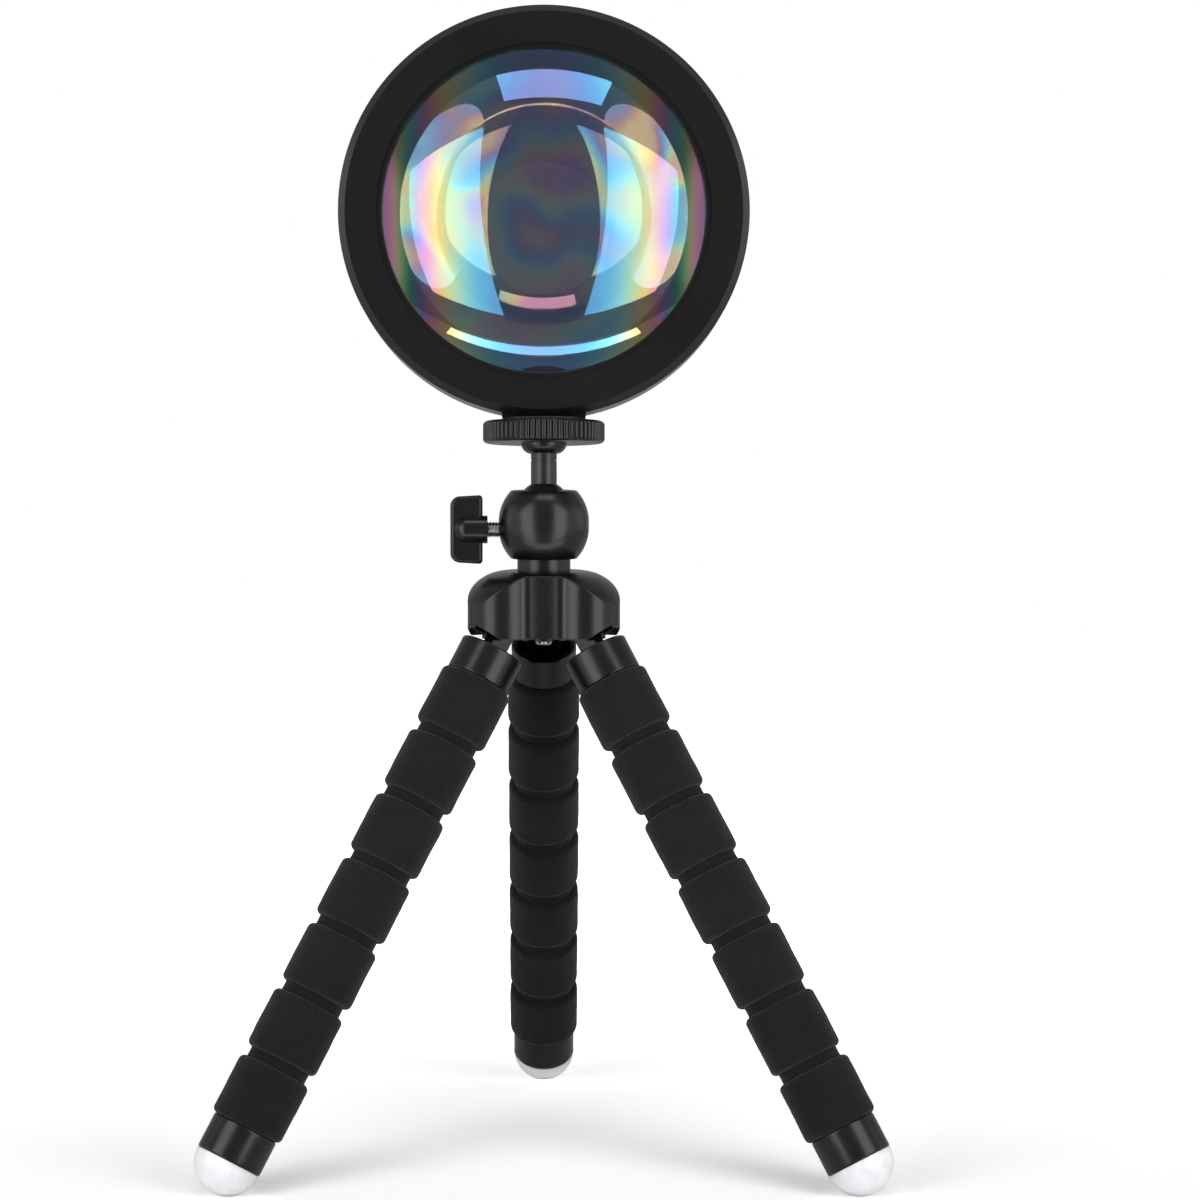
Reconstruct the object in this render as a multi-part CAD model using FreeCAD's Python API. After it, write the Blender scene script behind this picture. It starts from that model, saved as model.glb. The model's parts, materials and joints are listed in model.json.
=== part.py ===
import FreeCAD, Part
import math
import os

from FreeCAD import Vector

# Projection lamp on a small bendable tripod. Sizes are millimetres and degrees.
# Origin: on the floor below the middle of the hub. +Z is up, +X is to the right of a person
# who looks into the lens, and the lens faces -Y.

# ---- legs ----
LEGS = {"left": 210.0, "right": 330.0, "rear": 90.0}   # azimuth of each leg
LEG_SPLAY = 31.3            # angle of an open leg from the vertical
FOLDED_GAP = 0.36           # between two legs when they are folded side by side
COLLAR_OFFSET = 7.0         # hinge pin to the mouth of the top collar, along the leg
COLLAR_LENGTH = 8.5
COLLAR_STEP = 0.9           # the collars are this much slimmer than the foam, in radius
COLLAR_WALL = 1.4
COLLAR_CUP_DEPTH = 5.2
COLLAR_ROUND = 0.5
RING_COUNT = 7
RING_RADIUS = 9.0
RING_LENGTH = 15.0
RING_ROUND = 1.4
GROOVE_WIDTH = 2.5
GROOVE_DEPTH = 1.2
SPINE_RADIUS = 3.0          # bendable rod inside the leg
SPINE_SEAT = 2.0            # how far the rod goes into each collar
FOOT_COLLAR_LENGTH = 8.8
FOOT_STEP = 0.05            # the foot is this much slimmer than its collar, in radius
FOOT_FLAT = 0.3             # depth of the flat on which a foot stands
FOOT_SPIGOT_RADIUS = 5.0
FOOT_SPIGOT_LENGTH = 3.5

# ---- leg hinges ----
TONGUE_THICKNESS = 4.4
TONGUE_WIDTH = 4.8
EYE_RADIUS = 3.3
PIN_RADIUS = 1.5
CHEEK_THICKNESS = 2.2
CHEEK_BEYOND = 4.2          # outer end of a cheek beyond the hinge pin
CHEEK_BELOW = 3.3           # bottom of the cheeks below the hinge pin

# ---- hub ----
HUB_BELOW = 2.6             # skirt bottom below the hinge pin
HUB_ABOVE = 13.15           # hub top above the hinge pin
HUB_WALL = 1.8
CORE_BEYOND = 2.4           # wall between two lobes, outside the hinge pins
LOBE_OVERHANG = 0.4         # a lobe is this much wider than the collar below it, in radius
LOBE_BEYOND = 1.0           # middle of a lobe beyond the hinge pin
LOBE_BLEND = 3.0            # hollow between a lobe and the wall beside it
DOME_EDGE_ROUND = 0.5       # where the dome meets the upright walls
DOME_ROUND = 11.5
DOME_BEYOND = 0.4           # foot of the dome's round beyond the tips of the lobes
ARCH_CLEARANCE = 1.1        # arch round the collar
ARCH_ABOVE = 0.6            # crest of a leg arch above the hinge pin
BOSS_RADIUS = 5.2
BOSS_BELOW = 4.0            # bottom of the middle boss below the hinge pin
BOLT_RADIUS = 2.0
BOLT_HEAD_RADIUS = 3.6
BOLT_HEAD_THICKNESS = 1.4
BOLT_TIP_BELOW = 5.0        # end of the middle bolt below the hinge pin
BOLT_CHAMFER = 0.35

# ---- ball housing, from the hub top up ----
NECK_FLANGE_RADIUS = 6.5
NECK_FLANGE_HEIGHT = 2.95
HOUSING_WALL = 4.4          # wall round the socket
HOUSING_BAND = 1.45         # straight band between the two half spheres
HOUSING_BOTTOM_DROP = 7.6   # lower sphere centre down to the flat bottom
HOUSING_TOP_RISE = 7.65     # upper sphere centre up to the flat top
HOUSING_EDGE_ROUND = 0.8
BALL_RADIUS = 6.5
BALL_RISE = 4.9             # ball centre above the parting line of the housing
OPENING_LIP = 1.05          # the opening is this much narrower than the ball, in radius
HOUSING_FLOOR = 1.4         # cavity floor above the flat bottom

# ---- ball seat, brake shoe and clamp ----
SEAT_PLAY = 0.35            # round the seat's flange
SEAT_FLANGE_THICKNESS = 1.5
SEAT_RADIUS = 4.0
CLAMP_DROP = 0.5            # screw axis below the parting line
SHOE_RADIUS = 3.2
SHOE_BEYOND = 0.5           # inner end of the shoe outside the seat
SHOE_COVER = 1.3            # housing left outside the shoe's bore
SCREW_RADIUS = 2.0
SCREW_TRAVEL = 1.05         # one and a half turns of a 0.7 mm thread
SCREW_SHOWN = 2.75          # thread that shows between the housing and the knob
KNOB_COLLAR_RADIUS = 3.4
KNOB_COLLAR_LENGTH = 1.2
KNOB_LENGTH = 7.9
KNOB_SPAN = 16.9            # tip to tip over the two wings
KNOB_TIP_SPAN = 16.0
KNOB_CORNER = 2.4             # outer corners of the wings
KNOB_THICKNESS = 2.6
KNOB_BOSS_LENGTH = 7.1
KNOB_NOSE = 3.1               # outer end of the boss is nearly a half ball
KNOB_ROUND = 0.9
SCREW_IN_KNOB = 5.0

# ---- stem and lock wheel, distances along the stem from the ball centre ----
HEAD_TILT = 4.2             # the stem leans back by this much
STEM_RADIUS = 3.175         # quarter inch rod, threaded above the groove
STEM_GROOVE_AT = 11.5
STEM_GROOVE_WIDTH = 0.3
STEM_GROOVE_DEPTH = 0.2
WHEEL_RADIUS = 14.9
WHEEL_BOTTOM = 15.7
WHEEL_THICKNESS = 5.4
WHEEL_ROUND = 1.1
WHEEL_RIBS = 66
WHEEL_RIB_DEPTH = 0.4
WHEEL_BOSS_LENGTH = 2.5
WHEEL_BOSS_WALL = 0.525     # round the stem, at the lower end of the wheel's boss
WHEEL_BOSS_FLARE = 1.9      # widening of the boss towards the wheel
PAD_RADIUS = 10.2
PAD_THICKNESS = 0.65
STUD_SETBACK = 0.4          # end of the stud below the end of the insert

# ---- head, built about the lens axis: y is measured from the stem, front is negative ----
HEAD_RIM = 7.6              # from the edge of the lens to the outside of the drum
FRONT_FACE = -8.75
BEZEL_THICKNESS = 2.15
DRUM_REAR = 8.2
SHOULDER_LENGTH = 7.0
SHOULDER_STEP = 7.0         # the barrel is this much slimmer than the drum, in radius
BARREL_TAPER = 1.4          # and narrows by this much towards the cover
SHELL_WALL = 2.2
BEZEL_BEVEL_WIDTH = 1.7
BEZEL_BEVEL_DEPTH = 1.5
BEZEL_STEP = 1.2            # width of the lip that shows inside the face
BEZEL_CONE = 0.7            # the face falls back this much towards the lens
LIP_OVERLAP = 2.9           # of the lip over the edge of the lens
LIP_SETBACK = 1.2           # front of the lip behind the front face
LIP_THICKNESS = 1.05
CLIP_ANGLES = (45.0, 135.0, 225.0, 315.0)
CLIP_WIDTH = 12.0
CLIP_LENGTH = 4.0
CLIP_THICKNESS = 1.1
LENS_RADIUS = 42.4
LENS_DOME_INSET = 0.2       # between the foot of the dome and the lip
LENS_DOME_HEIGHT = 13.0     # above the front of the lip, which the foot of the dome is level with
LENS_EDGE = 3.2
LENS_REAR_INSET = 2.4       # between the rear bulge and the edge of the ledge
LENS_REAR_HEIGHT = 7.4      # of the flatter bulge at the rear
GASKET_THICKNESS = 1.1
GASKET_WIDTH = 1.4
LEDGE_THICKNESS = 2.0
LENS_RIM_THICKNESS = 1.4
CONE_WALL = 1.2
FILTER_LIP = 1.4            # step in the throat that holds the filter
THROAT_DEPTH = 4.0          # from the filter to the light board
CONE_FLANGE_THICKNESS = 1.2
FILTER_RADIUS = 12.4
FILTER_THICKNESS = 1.0
BOARD_RADIUS = 17.0
BOARD_FRONT = 25.0
BOARD_THICKNESS = 1.6
CHIP_RADIUS = 5.5
CHIP_THICKNESS = 1.4
SINK_GAP = 1.2              # round the heat sink, where the cover meets the barrel
SINK_THICKNESS = 3.0
FIN_COUNT = 9
FIN_PITCH = 6.0
FIN_THICKNESS = 1.6
FIN_HEIGHT = 4.2
FIN_SPAN = 37.0
LEAD_RADIUS = 0.7
LEAD_OFFSET = 13.5
SCREW_INSET = 4.0           # screws from the edge of the heat sink
HEAD_SCREW_RADIUS = 1.25
HEAD_SCREW_CAP_RADIUS = 2.4
HEAD_SCREW_CAP_HEIGHT = 1.6
HEAD_SCREW_ENGAGEMENT = 5.0
HEAD_SCREW_ANGLES = (45.0, 135.0, 225.0, 315.0)
POST_RADIUS = 3.2
COVER_THICKNESS = 5.0
COVER_WALL = 2.2
COVER_ROUND = 2.6
COVER_SPIGOT_LENGTH = 2.5
VENT_COUNT = 7
VENT_PITCH = 5.2
VENT_WIDTH = 2.2
VENT_LENGTH = 30.0
VENT_UP = 12.0              # middle of the vent field above the lens axis
DRIVER_WIDTH = 40.0
DRIVER_ABOVE = 3.0          # upper edge of the driver board above the lens axis
DRIVER_BELOW = 28.5
DRIVER_THICKNESS = 1.6
DRIVER_PARTS_HEIGHT = 4.4   # parts on the board, and their room to the fins
DRIVER_CHIP_SIZE = 10.0
DRIVER_COIL_RADIUS = 4.4
DRIVER_COIL_OFFSET = 13.0
STANDOFF_RADIUS = 2.2
STANDOFF_LENGTH = 3.0
STANDOFF_OFFSET = 16.5
INLET_DOWN = 17.0           # middle of the inlet below the lens axis
INLET_WIDTH = 11.0
INLET_HEIGHT = 5.4
INLET_SLOT_WIDTH = 8.6
INLET_SLOT_HEIGHT = 2.8
INLET_SLOT_DEPTH = 4.6
INLET_TONGUE_WIDTH = 6.0
INLET_TONGUE_THICKNESS = 0.7
INLET_TONGUE_SETBACK = 1.2
INLET_PROUD = 0.4           # the inlet stands this far out of the cover
BOSS_WIDTH = 20.4
BOSS_INSET_FRONT = 0.6      # from the front of the shell
BOSS_INSET_REAR = 0.2       # from the rear of the drum
BOSS_CORE_WIDTH = 12.0
INSERT_WALL = 0.825         # of the threaded insert round the stud
INSERT_LENGTH = 5.8
BOSS_ROOF = 0.6             # wall of the mount boss above the insert

# ---- clearances ----
RUNNING_FIT = 0.06          # radial, shaft in a bore that it turns in
BALL_FIT = 0.15             # between the ball and what holds it
SLIDE_FIT = 0.1             # flat faces that turn or slide on each other
SLEEVE_GAP = 0.3            # a bead's bore around the rod, and loose fits
SEATED_FIT = 0.05           # pieces of one body that slip into each other

# ---- places worked out from the sizes ----
HALF_BETWEEN_LEGS = math.radians(180 / len(LEGS))
HINGE_RADIUS = (RING_RADIUS + FOLDED_GAP / 2) / math.sin(HALF_BETWEEN_LEGS)
COLLAR_RADIUS = RING_RADIUS - COLLAR_STEP
COLLAR_CUP_RADIUS = COLLAR_RADIUS - COLLAR_WALL
NECK_RADIUS = RING_RADIUS - GROOVE_DEPTH
FOOT_RADIUS = COLLAR_RADIUS - FOOT_STEP
RING_PITCH = RING_LENGTH + GROOVE_WIDTH
LEG_TOP = COLLAR_OFFSET + COLLAR_LENGTH
LEG_FOAM_END = LEG_TOP + RING_COUNT * RING_LENGTH + (RING_COUNT - 1) * GROOVE_WIDTH
FOOT_AT = LEG_FOAM_END + FOOT_COLLAR_LENGTH
HINGE_HEIGHT = FOOT_AT * math.cos(math.radians(LEG_SPLAY)) + FOOT_RADIUS - FOOT_FLAT
CHEEK_INNER = TONGUE_THICKNESS / 2 + SLIDE_FIT
CHEEK_OUTER = CHEEK_INNER + CHEEK_THICKNESS
CHEEK_REACH = HINGE_RADIUS + CHEEK_BEYOND

HUB_CORE_RADIUS = HINGE_RADIUS + CORE_BEYOND
LOBE_RADIUS = COLLAR_RADIUS + LOBE_OVERHANG
LOBE_OFFSET = HINGE_RADIUS + LOBE_BEYOND
DOME_FLAT_RADIUS = LOBE_OFFSET + LOBE_RADIUS + DOME_BEYOND - DOME_ROUND
ARCH_RADIUS = COLLAR_RADIUS + ARCH_CLEARANCE
HUB_BOTTOM = HINGE_HEIGHT - HUB_BELOW
HUB_TOP = HINGE_HEIGHT + HUB_ABOVE
HOUSING_BOTTOM = HUB_TOP + NECK_FLANGE_HEIGHT
PARTING = HOUSING_BOTTOM + HOUSING_BOTTOM_DROP
HOUSING_TOP = PARTING + HOUSING_BAND + HOUSING_TOP_RISE
BALL_HEIGHT = PARTING + BALL_RISE
CAVITY_FLOOR = HOUSING_BOTTOM + HOUSING_FLOOR
SOCKET_RADIUS = BALL_RADIUS + BALL_FIT
OPENING_RADIUS = BALL_RADIUS - OPENING_LIP
HOUSING_RADIUS = SOCKET_RADIUS + HOUSING_WALL
SEAT_FLANGE_RADIUS = SOCKET_RADIUS - SEAT_PLAY
CLAMP_HEIGHT = PARTING - CLAMP_DROP
SHOE_INNER = SEAT_RADIUS + SHOE_BEYOND
SHOE_OUTER = HOUSING_RADIUS - SHOE_COVER - SLIDE_FIT - SCREW_TRAVEL
KNOB_INNER = HOUSING_RADIUS + SCREW_SHOWN

WHEEL_TOP = WHEEL_BOTTOM + WHEEL_THICKNESS
WHEEL_BOSS_LOW_RADIUS = STEM_RADIUS + WHEEL_BOSS_WALL
WHEEL_BOSS_HIGH_RADIUS = WHEEL_BOSS_LOW_RADIUS + WHEEL_BOSS_FLARE
INSERT_RADIUS = STEM_RADIUS + INSERT_WALL
PAD_TOP = WHEEL_TOP + PAD_THICKNESS
HEAD_BOTTOM = PAD_TOP + SLIDE_FIT
HEAD_RADIUS = LENS_RADIUS + HEAD_RIM
HEAD_CENTRE = HEAD_BOTTOM + HEAD_RADIUS
BARREL_RADIUS = HEAD_RADIUS - SHOULDER_STEP
COVER_RADIUS = BARREL_RADIUS - BARREL_TAPER

BEZEL_BEVEL_RADIUS = HEAD_RADIUS - BEZEL_BEVEL_WIDTH
SHELL_FRONT = FRONT_FACE + BEZEL_THICKNESS
LIP_FRONT = FRONT_FACE + LIP_SETBACK
LIP_RADIUS = LENS_RADIUS - LIP_OVERLAP
BEZEL_INNER_RADIUS = LIP_RADIUS + BEZEL_STEP
LENS_DOME_BASE = LIP_RADIUS - LENS_DOME_INSET
LENS_FRONT = LIP_FRONT + LIP_THICKNESS
LENS_BACK = LENS_FRONT + LENS_EDGE
LEDGE_FRONT = LENS_BACK + GASKET_THICKNESS
LEDGE_RADIUS = LENS_RADIUS - GASKET_WIDTH
LENS_REAR_BASE = LEDGE_RADIUS - LENS_REAR_INSET
CONE_MOUTH_RADIUS = LEDGE_RADIUS - SEATED_FIT
CONE_THROAT_RADIUS = FILTER_RADIUS - FILTER_LIP
CONE_THROAT_FRONT = BOARD_FRONT - THROAT_DEPTH
BOARD_BACK = BOARD_FRONT + BOARD_THICKNESS
SINK_BACK = BOARD_BACK + SINK_THICKNESS
SINK_RADIUS = COVER_RADIUS - SHELL_WALL - SINK_GAP
SCREW_CIRCLE = SINK_RADIUS - SCREW_INSET
DRIVER_FRONT = SINK_BACK + FIN_HEIGHT + DRIVER_PARTS_HEIGHT
DRIVER_BACK = DRIVER_FRONT + DRIVER_THICKNESS
COVER_FLOOR = DRIVER_BACK + STANDOFF_LENGTH
COVER_BACK = COVER_FLOOR + COVER_WALL
SHELL_REAR = COVER_BACK - COVER_THICKNESS
BOSS_FRONT = SHELL_FRONT + BOSS_INSET_FRONT
BOSS_REAR = DRUM_REAR - BOSS_INSET_REAR

X_AXIS = Vector(1, 0, 0)
Y_AXIS = Vector(0, 1, 0)
Z_AXIS = Vector(0, 0, 1)
ORIGIN = Vector(0, 0, 0)
FAR = 400.0                 # longer than the whole lamp, for half-space cutters


# ---- small building functions ----

def profile_face(start, moves):
    """Closed face in the XZ plane. A move is (x, z), or ((x, z), (x, z)) for an arc's middle and end."""
    edges = []
    here = Vector(start[0], 0, start[1])
    for move in list(moves) + [start]:
        if isinstance(move[0], tuple):
            middle = Vector(move[0][0], 0, move[0][1])
            end = Vector(move[1][0], 0, move[1][1])
            edges.append(Part.Arc(here, middle, end).toShape())
        else:
            end = Vector(move[0], 0, move[1])
            if here.distanceToPoint(end) > 1e-6:
                edges.append(Part.LineSegment(here, end).toShape())
        here = end
    return Part.Face(Part.Wire(edges))


def turned(start, moves):
    """Solid of revolution about Z from a profile of (radius, height)."""
    return profile_face(start, moves).revolve(ORIGIN, Z_AXIS, 360)


def corner(centre, radius, from_angle, to_angle):
    """Arc move about a centre, angles in degrees from +X towards +Z."""
    half = math.radians((from_angle + to_angle) / 2)
    last = math.radians(to_angle)
    middle = (centre[0] + radius * math.cos(half), centre[1] + radius * math.sin(half))
    end = (centre[0] + radius * math.cos(last), centre[1] + radius * math.sin(last))
    return (middle, end)


def cylinder(radius, low, high, axis=Z_AXIS, at=ORIGIN):
    """Cylinder on a line through a point, from one distance along it to another."""
    return Part.makeCylinder(radius, high - low, at + axis * low, axis)


def box(x, y, z):
    """Box between three (low, high) pairs."""
    return Part.makeBox(x[1] - x[0], y[1] - y[0], z[1] - z[0], Vector(x[0], y[0], z[0]))


def ring_solid(inner, outer, low, high):
    return cylinder(outer, low, high).cut(cylinder(inner, low, high))


def turned_about_z(shape, angle):
    return shape.rotated(ORIGIN, Z_AXIS, angle)


def rounded(shape, radius, wanted):
    """Fillet the edges that the test picks."""
    edges = [edge for edge in shape.Edges if wanted(edge)]
    return shape.makeFillet(radius, edges)


def circle_edge_at(height, radius):
    """Test for a circular edge about Z at a height, of a radius."""
    def wanted(edge):
        curve = edge.Curve
        return (isinstance(curve, Part.Circle)
                and abs(curve.Radius - radius) < 1e-3
                and abs(curve.Center.z - height) < 1e-3)
    return wanted


def save(shape, name):
    solid = shape.removeSplitter()
    solid.exportStep(os.path.join("parts", name + ".step"))
    print(name, "solids", len(solid.Solids), "volume", round(solid.Volume, 1), "valid", solid.isValid())


# ---- legs: built on the Z axis with the hinge pin at the origin, the leg going down ----

def on_leg(shape, azimuth):
    """Put a piece built about the hinge onto the open leg at an azimuth."""
    placed = shape.rotated(ORIGIN, Y_AXIS, -LEG_SPLAY)
    placed = placed.translated(Vector(HINGE_RADIUS, 0, HINGE_HEIGHT))
    return turned_about_z(placed, azimuth)


def groove_at(number):
    """Distance from the hinge pin to the middle of a groove, the first groove being 1."""
    return LEG_TOP + number * RING_LENGTH + (number - 0.5) * GROOVE_WIDTH


def leg_collar():
    """Top collar: a cup on the end of the leg with the hinge tongue standing in it."""
    collar = cylinder(COLLAR_RADIUS, -LEG_TOP, -COLLAR_OFFSET)
    collar = rounded(collar, COLLAR_ROUND, lambda edge: isinstance(edge.Curve, Part.Circle))
    cup_floor = COLLAR_OFFSET + COLLAR_CUP_DEPTH
    collar = collar.cut(cylinder(COLLAR_CUP_RADIUS, -cup_floor, 0))
    half_tongue = TONGUE_THICKNESS / 2
    half_width = TONGUE_WIDTH / 2
    tongue = box((-half_width, half_width), (-half_tongue, half_tongue), (-cup_floor - SEATED_FIT, 0))
    eye = cylinder(EYE_RADIUS, -half_tongue, half_tongue, Y_AXIS)
    pin_bore = cylinder(PIN_RADIUS + RUNNING_FIT, -half_tongue, half_tongue, Y_AXIS)
    rod_bore = cylinder(SPINE_RADIUS + SEATED_FIT, -LEG_TOP, -LEG_TOP + SPINE_SEAT)
    return collar.fuse([tongue, eye]).cut(pin_bore).cut(rod_bore)


def leg_ring(number):
    """One foam bead with rounded ends and a bore for the rod."""
    top = -(LEG_TOP + (number - 1) * RING_PITCH)
    bottom = top - RING_LENGTH
    edge = RING_RADIUS - RING_ROUND
    bore = SPINE_RADIUS + SLEEVE_GAP
    moves = [
        (edge, bottom),
        corner((edge, bottom + RING_ROUND), RING_ROUND, -90, 0),
        (RING_RADIUS, top - RING_ROUND),
        corner((edge, top - RING_ROUND), RING_ROUND, 0, 90),
        (bore, top),
    ]
    return turned((bore, bottom), moves)


def leg_spine():
    """Bendable rod of the leg, with the foam neck that shows in each groove."""
    spine = cylinder(SPINE_RADIUS, -LEG_FOAM_END - SPINE_SEAT, -LEG_TOP + SPINE_SEAT)
    half_neck = GROOVE_WIDTH / 2 - SEATED_FIT
    for number in range(1, RING_COUNT):
        middle = -groove_at(number)
        spine = spine.fuse(cylinder(NECK_RADIUS, middle - half_neck, middle + half_neck))
    return spine


def foot_collar():
    collar = cylinder(COLLAR_RADIUS, -FOOT_AT, -LEG_FOAM_END)
    collar = rounded(collar, COLLAR_ROUND, lambda edge: isinstance(edge.Curve, Part.Circle))
    rod_bore = cylinder(SPINE_RADIUS + SEATED_FIT, -LEG_FOAM_END - SPINE_SEAT, -LEG_FOAM_END)
    spigot_bore = cylinder(FOOT_SPIGOT_RADIUS + SEATED_FIT, -FOOT_AT, -FOOT_AT + FOOT_SPIGOT_LENGTH)
    return collar.cut(rod_bore).cut(spigot_bore)


def foot_tip():
    """Half ball of clear rubber with a spigot in the collar."""
    ball = Part.makeSphere(FOOT_RADIUS, Vector(0, 0, -FOOT_AT))
    half = ball.cut(cylinder(FAR, -FOOT_AT, FAR))
    return half.fuse(cylinder(FOOT_SPIGOT_RADIUS, -FOOT_AT, -FOOT_AT + FOOT_SPIGOT_LENGTH))


def build_leg(side, azimuth):
    floor = box((-FAR, FAR), (-FAR, FAR), (-FAR, 0))
    save(on_leg(leg_collar(), azimuth), "leg_" + side + "_collar")
    save(on_leg(leg_spine(), azimuth), "leg_" + side + "_spine")
    for number in range(1, RING_COUNT + 1):
        save(on_leg(leg_ring(number), azimuth), "leg_" + side + "_ring_" + str(number))
    save(on_leg(foot_collar(), azimuth), "leg_" + side + "_foot_collar")
    save(on_leg(foot_tip(), azimuth).cut(floor), "leg_" + side + "_foot_tip")


# ---- hub ----

def polar(radius, angle, height):
    turn = math.radians(angle)
    return Vector(radius * math.cos(turn), radius * math.sin(turn), height)


def arc_about(centre, radius, start, end):
    """The shorter arc about a centre between the directions of two points."""
    from_here = (start - centre).normalize()
    to_there = (end - centre).normalize()
    middle = (from_here + to_there).normalize()
    points = [centre + direction * radius for direction in (from_here, middle, to_there)]
    return Part.Arc(*points).toShape()


def hub_outline(inset, height):
    """Plan of the hub: three lobes joined by hollow blends to a round core."""
    core = HUB_CORE_RADIUS - inset
    lobe = LOBE_RADIUS - inset
    blend = LOBE_BLEND + inset
    reach = core + blend
    cosine = (reach ** 2 + LOBE_OFFSET ** 2 - (lobe + blend) ** 2) / (2 * reach * LOBE_OFFSET)
    swing = math.degrees(math.acos(cosine))
    azimuths = sorted(LEGS.values())
    middle = Vector(0, 0, height)
    edges = []
    for azimuth, next_azimuth in zip(azimuths, azimuths[1:] + azimuths[:1]):
        lobe_centre = polar(LOBE_OFFSET, azimuth, height)
        tip = polar(LOBE_OFFSET + lobe, azimuth, height)
        before = polar(reach, azimuth - swing, height)
        after = polar(reach, azimuth + swing, height)
        following = polar(reach, next_azimuth - swing, height)
        edges.append(arc_about(before, blend, middle, lobe_centre))
        edges.append(arc_about(lobe_centre, lobe, before, tip))
        edges.append(arc_about(lobe_centre, lobe, tip, after))
        edges.append(arc_about(after, blend, lobe_centre, middle))
        edges.append(arc_about(middle, core, after, following))
    return Part.Face(Part.Wire(edges))


def hub_form(inset, bottom):
    """Three-lobed form of the hub under its dome, drawn in by an inset on all sides but the bottom."""
    top = HUB_TOP - inset
    plan = hub_outline(inset, bottom).extrude(Vector(0, 0, top - bottom))
    dome_round = DOME_ROUND - inset
    moves = [
        (DOME_FLAT_RADIUS + dome_round, bottom),
        (DOME_FLAT_RADIUS + dome_round, top - dome_round),
        corner((DOME_FLAT_RADIUS, top - dome_round), dome_round, 0, 90),
        (0, top),
    ]
    return plan.common(turned((0, bottom), moves))


def is_dome_edge(edge):
    """Test for an edge between the dome and an upright wall of the hub."""
    box_of_edge = edge.BoundBox
    climbs = box_of_edge.ZMax - box_of_edge.ZMin > 1e-3
    return climbs and box_of_edge.ZMin > HUB_BOTTOM + 1 and not isinstance(edge.Curve, Part.Line)


def hub_cap():
    """Dome with three lobes and an arch over each leg."""
    cap = rounded(hub_form(0, HUB_BOTTOM).removeSplitter(), DOME_EDGE_ROUND, is_dome_edge)
    cap = cap.cut(hub_form(HUB_WALL, HUB_BOTTOM))
    arch_height = HINGE_HEIGHT + ARCH_ABOVE - ARCH_RADIUS
    for azimuth in LEGS.values():
        arch = cylinder(ARCH_RADIUS, 0, FAR, X_AXIS, Vector(0, 0, arch_height))
        cap = cap.cut(turned_about_z(arch, azimuth))
    return cap.cut(cylinder(BOLT_RADIUS + SEATED_FIT, HUB_BOTTOM, HUB_TOP))


def hub_frame():
    """Leg carrier inside the cap: a boss for the middle bolt and two cheeks at each leg."""
    boss_bottom = HINGE_HEIGHT - BOSS_BELOW
    cheek_bottom = HINGE_HEIGHT - CHEEK_BELOW
    frame = cylinder(BOSS_RADIUS, boss_bottom, HUB_TOP)
    cheek_pair = box((0, CHEEK_REACH), (-CHEEK_OUTER, CHEEK_OUTER), (cheek_bottom, HUB_TOP))
    slot = box((BOSS_RADIUS, FAR), (-CHEEK_INNER, CHEEK_INNER), (cheek_bottom, HUB_TOP))
    pin_bore = cylinder(PIN_RADIUS, -CHEEK_OUTER, CHEEK_OUTER, Y_AXIS, Vector(HINGE_RADIUS, 0, HINGE_HEIGHT))
    for azimuth in LEGS.values():
        frame = frame.fuse(turned_about_z(cheek_pair, azimuth))
    for azimuth in LEGS.values():
        frame = frame.cut(turned_about_z(slot, azimuth)).cut(turned_about_z(pin_bore, azimuth))
    frame = frame.common(hub_form(HUB_WALL, boss_bottom))
    return frame.cut(cylinder(BOLT_RADIUS, boss_bottom, HUB_TOP))


def hinge_pins():
    """The three leg hinge pins, one solid each."""
    pin = cylinder(PIN_RADIUS, -CHEEK_OUTER, CHEEK_OUTER, Y_AXIS, Vector(HINGE_RADIUS, 0, HINGE_HEIGHT))
    return Part.makeCompound([turned_about_z(pin, azimuth) for azimuth in LEGS.values()])


def centre_bolt():
    """Bolt from the ball housing through the cap into the leg carrier."""
    tip = HINGE_HEIGHT - BOLT_TIP_BELOW
    head_bottom = CAVITY_FLOOR - BOLT_HEAD_THICKNESS
    moves = [
        (BOLT_RADIUS - BOLT_CHAMFER, tip),
        (BOLT_RADIUS, tip + BOLT_CHAMFER),
        (BOLT_RADIUS, head_bottom),
        (BOLT_HEAD_RADIUS, head_bottom),
        (BOLT_HEAD_RADIUS, CAVITY_FLOOR),
        (0, CAVITY_FLOOR),
    ]
    return turned((0, tip), moves)


# ---- ball head ----

def housing_form():
    """Outside of the ball housing: two half spheres with a straight band between them."""
    low_radius = math.sqrt(HOUSING_RADIUS ** 2 - HOUSING_BOTTOM_DROP ** 2)
    high_radius = math.sqrt(HOUSING_RADIUS ** 2 - HOUSING_TOP_RISE ** 2)
    low_angle = math.degrees(math.asin(HOUSING_BOTTOM_DROP / HOUSING_RADIUS))
    high_angle = math.degrees(math.asin(HOUSING_TOP_RISE / HOUSING_RADIUS))
    band_top = PARTING + HOUSING_BAND
    moves = [
        (low_radius, HOUSING_BOTTOM),
        corner((0, PARTING), HOUSING_RADIUS, -low_angle, 0),
        (HOUSING_RADIUS, band_top),
        corner((0, band_top), HOUSING_RADIUS, 0, high_angle),
        (0, HOUSING_TOP),
    ]
    form = turned((0, HOUSING_BOTTOM), moves)
    form = rounded(form, HOUSING_EDGE_ROUND, circle_edge_at(HOUSING_TOP, high_radius))
    return rounded(form, HOUSING_EDGE_ROUND / 2, circle_edge_at(HOUSING_BOTTOM, low_radius))


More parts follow.
